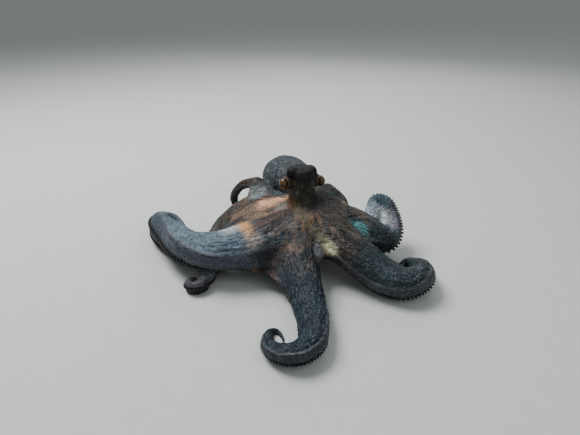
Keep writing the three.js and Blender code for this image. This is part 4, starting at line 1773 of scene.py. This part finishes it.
@dataclass(frozen=True)
class WetSkin:
    """Flecked, netted octopus skin over the ground colours that its mesh carries."""

    pale: Colour = (150, 160, 166)
    dark: Colour = (10, 12, 15)
    # patterns for each unit of the mesh's `lie`
    fleck_scale: float = 0.72
    net_scale: float = 0.32
    warp_scale: float = 0.25
    cloud_scale: float = 0.06
    mottle_scale: float = 0.55
    fine_scale: float = 1.6
    # how far the patterns are warped
    warp: float = 2.4
    pale_share: float = 0.56
    dark_share: float = 0.72
    roughness: float = 0.55
    bump_depth: float = 0.0006

    def material(self) -> bpy.types.Material:
        """Build the finish.

        Returns:
            The material.
        """
        desk = Desk("octopus skin")
        ground = desk.attribute("ground").outputs["Color"]
        fleck = desk.attribute("fleck").outputs["Fac"]
        lie = desk.attribute("lie").outputs["Vector"]
        wander = desk.node("ShaderNodeTexNoise")
        wander.inputs["Scale"].default_value = self.warp_scale
        desk.join(lie, wander.inputs["Vector"])
        shift = desk.node("ShaderNodeVectorMath", operation="MULTIPLY_ADD")
        desk.join(wander.outputs["Color"], shift.inputs[0])
        shift.inputs[1].default_value = (self.warp,) * 3
        desk.join(lie, shift.inputs[2])
        warped = shift.outputs[0]
        spots = desk.cells(warped, self.fleck_scale)
        cell_luck = desk.node("ShaderNodeSeparateColor")
        desk.join(spots.outputs["Color"], cell_luck.inputs[0])
        inside = desk.spread(spots.outputs["Distance"], 0.6, 0.2)
        lucky = desk.spread(cell_luck.outputs[0], 0.1, 0.8)
        clouds = desk.spread(desk.noise(lie, self.cloud_scale, 2.0), 0.36, 0.6, 0.35, 1.0)
        pale_amount = desk.maths("MULTIPLY", desk.maths("MULTIPLY", inside, lucky), clouds)
        pale_amount = desk.maths("MULTIPLY", pale_amount, fleck)
        pale_amount = desk.maths("MULTIPLY", pale_amount, self.pale_share)
        net = desk.cells(warped, self.net_scale, "DISTANCE_TO_EDGE")
        seams = desk.spread(net.outputs["Distance"], 0.16, 0.02)
        mottle = desk.spread(desk.noise(warped, self.mottle_scale, 4.0), 0.42, 0.66)
        dark_amount = desk.maths("MAXIMUM", desk.maths("MULTIPLY", seams, 0.55), mottle)
        dark_amount = desk.maths("MULTIPLY", dark_amount, self.dark_share)
        colour = desk.blend(dark_amount, ground, linear(*self.dark))
        pale_mix = desk.blend(0.45, linear(*self.pale), ground)
        brighter = desk.blend(1.0, pale_mix, (1.25, 1.25, 1.25), "MULTIPLY")
        colour = desk.blend(pale_amount, colour, brighter)
        desk.join(colour, desk.shader.inputs["Base Color"])
        fine = desk.noise(warped, self.fine_scale, 4.0)
        height = desk.maths("ADD", desk.maths("MULTIPLY", fine, 0.5), pale_amount)
        desk.bump(height, self.bump_depth, 0.7)
        rough = desk.spread(fine, 0.3, 0.7, self.roughness - 0.08, self.roughness + 0.1)
        desk.join(rough, desk.shader.inputs["Roughness"])
        desk.settle(specular_ior_level=0.16, subsurface_weight=0.05, subsurface_scale=0.002)
        return desk.material


@dataclass(frozen=True)
class SuckerFlesh:
    """Suckers: painted shade darkens the stalks low down and the bottoms of the cups; paler rims;
    mottled darker cups.
    """

    stalk: Colour = (18, 20, 22)
    rim: Colour = (62, 58, 60)
    cup: Colour = (20, 19, 20)

    def material(self) -> bpy.types.Material:
        """Build the finish.

        Returns:
            The material.
        """
        desk = Desk("octopus sucker")
        level = desk.attribute("rim").outputs["Fac"]
        place = desk.node("ShaderNodeTexCoord").outputs["Object"]
        # painted shade: darker from the rim's top down the stalk and into the cup
        colour = desk.blend(desk.spread(level, 0.4, 1.02), linear(*self.stalk), linear(*self.rim))
        mottle = desk.spread(desk.noise(place, 900.0), 0.35, 0.65, 0.0, 0.6)
        colour = desk.blend(mottle, colour, linear(*self.cup))
        desk.join(colour, desk.shader.inputs["Base Color"])
        desk.bump(desk.noise(place, 2200.0), 0.0002, 0.5)
        desk.settle(roughness=0.55, specular_ior_level=0.2)
        return desk.material


@dataclass(frozen=True)
class EyeGold:
    """The eyeball: gold iris with dark streaks, level slit pupil, bronze outside."""

    gold: Colour = (104, 70, 14)
    amber: Colour = (36, 24, 6)
    bronze: Colour = (50, 52, 22)
    pupil: Colour = (5, 5, 6)
    slit_height: float = 0.17
    slit_width: float = 0.56

    def material(self) -> bpy.types.Material:
        """Build the finish.

        Returns:
            The material.
        """
        desk = Desk("octopus eye")
        look = desk.attribute("look").outputs["Vector"]
        parts = desk.node("ShaderNodeSeparateXYZ")
        desk.join(look, parts.inputs[0])
        x, z, ahead = parts.outputs
        streaks = desk.noise(look, 9.0, 5.0)
        colour = desk.blend(desk.spread(streaks, 0.35, 0.62), linear(*self.amber),
                            linear(*self.gold))
        outside = desk.spread(ahead, 0.62, 0.3)
        flecks = desk.cells(look, 16.0).outputs["Distance"]
        bronze = desk.blend(desk.spread(flecks, 0.25, 0.6), linear(*self.bronze),
                            linear(*self.amber))
        colour = desk.blend(outside, colour, bronze)
        tall = desk.maths("DIVIDE", z, self.slit_height)
        wide = desk.maths("DIVIDE", x, self.slit_width)
        away = desk.maths("SQRT", desk.maths("ADD", desk.maths("MULTIPLY", tall, tall),
                                             desk.maths("MULTIPLY", wide, wide)))
        slit = desk.maths("MULTIPLY", desk.spread(away, 1.06, 0.9),
                          desk.spread(ahead, 0.0, 0.2))
        colour = desk.blend(slit, colour, linear(*self.pupil))
        desk.join(colour, desk.shader.inputs["Base Color"])
        desk.bump(streaks, 0.0002, 0.25)
        desk.settle(roughness=0.4, specular_ior_level=0.3, coat_weight=0.3, coat_roughness=0.1)
        return desk.material


# ------------------------------------------------------------------ the stage


@dataclass
class Studio:
    """The camera, the pale floor and the soft light."""

    camera_place: Place = (-19.0, -525.0, 350.0)
    pitch: float = 28.65
    lens: float = 26.07
    floor_half: float = 60.0
    # name, place in metres, width in metres, power in watts
    lamps: tuple[tuple[str, Place, float, float], ...] = (
        ("key", (-0.75, 0.4, 1.5), 0.8, 36.0),
        ("fill", (0.9, -0.9, 1.2), 1.4, 5.0),
        ("back", (0.4, 1.3, 1.1), 1.2, 8.0),
    )
    sky: Place = (0.82, 0.87, 0.9)
    sky_strength: float = 0.34

    def build(self) -> None:
        """Make the camera, floor, lights and surroundings."""
        data = bpy.data.cameras.new("view")
        data.lens = self.lens
        data.sensor_width = 36.0
        data.clip_start = 0.01
        camera = put("view", data)
        camera.location = Vector(to_frame(np.array(self.camera_place)))
        camera.rotation_euler = (math.radians(90 - self.pitch), 0, 0)
        bpy.context.scene.camera = camera
        self._floor()
        for lamp in self.lamps:
            self._light(*lamp)
        world = bpy.data.worlds.new("surroundings")
        world.use_nodes = True
        background = world.node_tree.nodes["Background"]
        background.inputs["Color"].default_value = (*self.sky, 1)
        background.inputs["Strength"].default_value = self.sky_strength
        bpy.context.scene.world = world

    def _floor(self) -> None:
        """Lay the floor."""
        half = self.floor_half
        mesh = bpy.data.meshes.new("floor")
        mesh.from_pydata([(-half, -half, 0), (half, -half, 0), (half, half, 0), (-half, half, 0)],
                         [], [(0, 1, 2, 3)])
        floor = put("floor", mesh)
        desk = Desk("studio floor")
        place = desk.node("ShaderNodeTexCoord").outputs["Object"]
        colour = desk.blend(desk.noise(place, 60.0), linear(196, 200, 196), linear(204, 208, 204))
        desk.join(colour, desk.shader.inputs["Base Color"])
        desk.settle(roughness=0.9)
        mesh.materials.append(desk.material)

    def _light(self, name: str, place: Place, size: float,
               power: float) -> None:
        """Hang a soft square light that faces the middle of the floor.

        Args:
            name: Its name.
            place: Where it hangs, in metres.
            size: Its width in metres.
            power: Its power in watts.
        """
        data = bpy.data.lights.new(name, "AREA")
        data.size = size
        data.energy = power
        lamp = put(name, data)
        lamp.location = place
        lamp.rotation_euler = (-Vector(place)).to_track_quat("-Z", "Y").to_euler()


# ------------------------------------------------------------------ the whole animal


def frame_offset() -> Array:
    """Work out where the crown stands in the shared frame, from the right eye's solid.

    Returns:
        What turns millimetres round the crown into millimetres in the frame.
    """
    low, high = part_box("eye_right")
    middle = np.array((low + high) / 2) / MM
    return middle - head_place(Side.RIGHT.value * EYE_OUT, EYE_HEIGHT)


OFFSET = frame_offset()


@dataclass
class Octopus:
    """The animal: one skin, suckers on every arm and two eyes."""

    fineness: Fineness
    # arms with larger suckers than the rest, and by how much
    sucker_scales: tuple[tuple[str, float], ...] = (
        ("left_2", 1.3), ("right_2", 1.35), ("right_3", 1.3),
    )

    def build(self) -> None:
        """Build every piece and hide the solids it stands for."""
        arms = {arm.name: arm for arm in ARMS}
        skin = Skin(self.fineness.value, arms, WEBS, Crown(), Head(), Mantle(), Siphon()).build()
        flesh = [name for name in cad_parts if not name.startswith("eye_")]
        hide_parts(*flesh)
        scales = dict(self.sucker_scales)
        for name, arm in arms.items():
            Suckers(arm, scales.get(name, 1.0)).build()
        for side in Side:
            eyeball = Eye(side).build()
            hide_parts(f"eye_{side.name.lower()}")


def main() -> None:
    """Build the stage and the animal, and note the sizes."""
    logging.basicConfig(level=logging.INFO, format="%(name)s: %(message)s")
    Studio().build()
    Octopus(Fineness.FINAL).build()


if __name__ == "__main__":
    main()
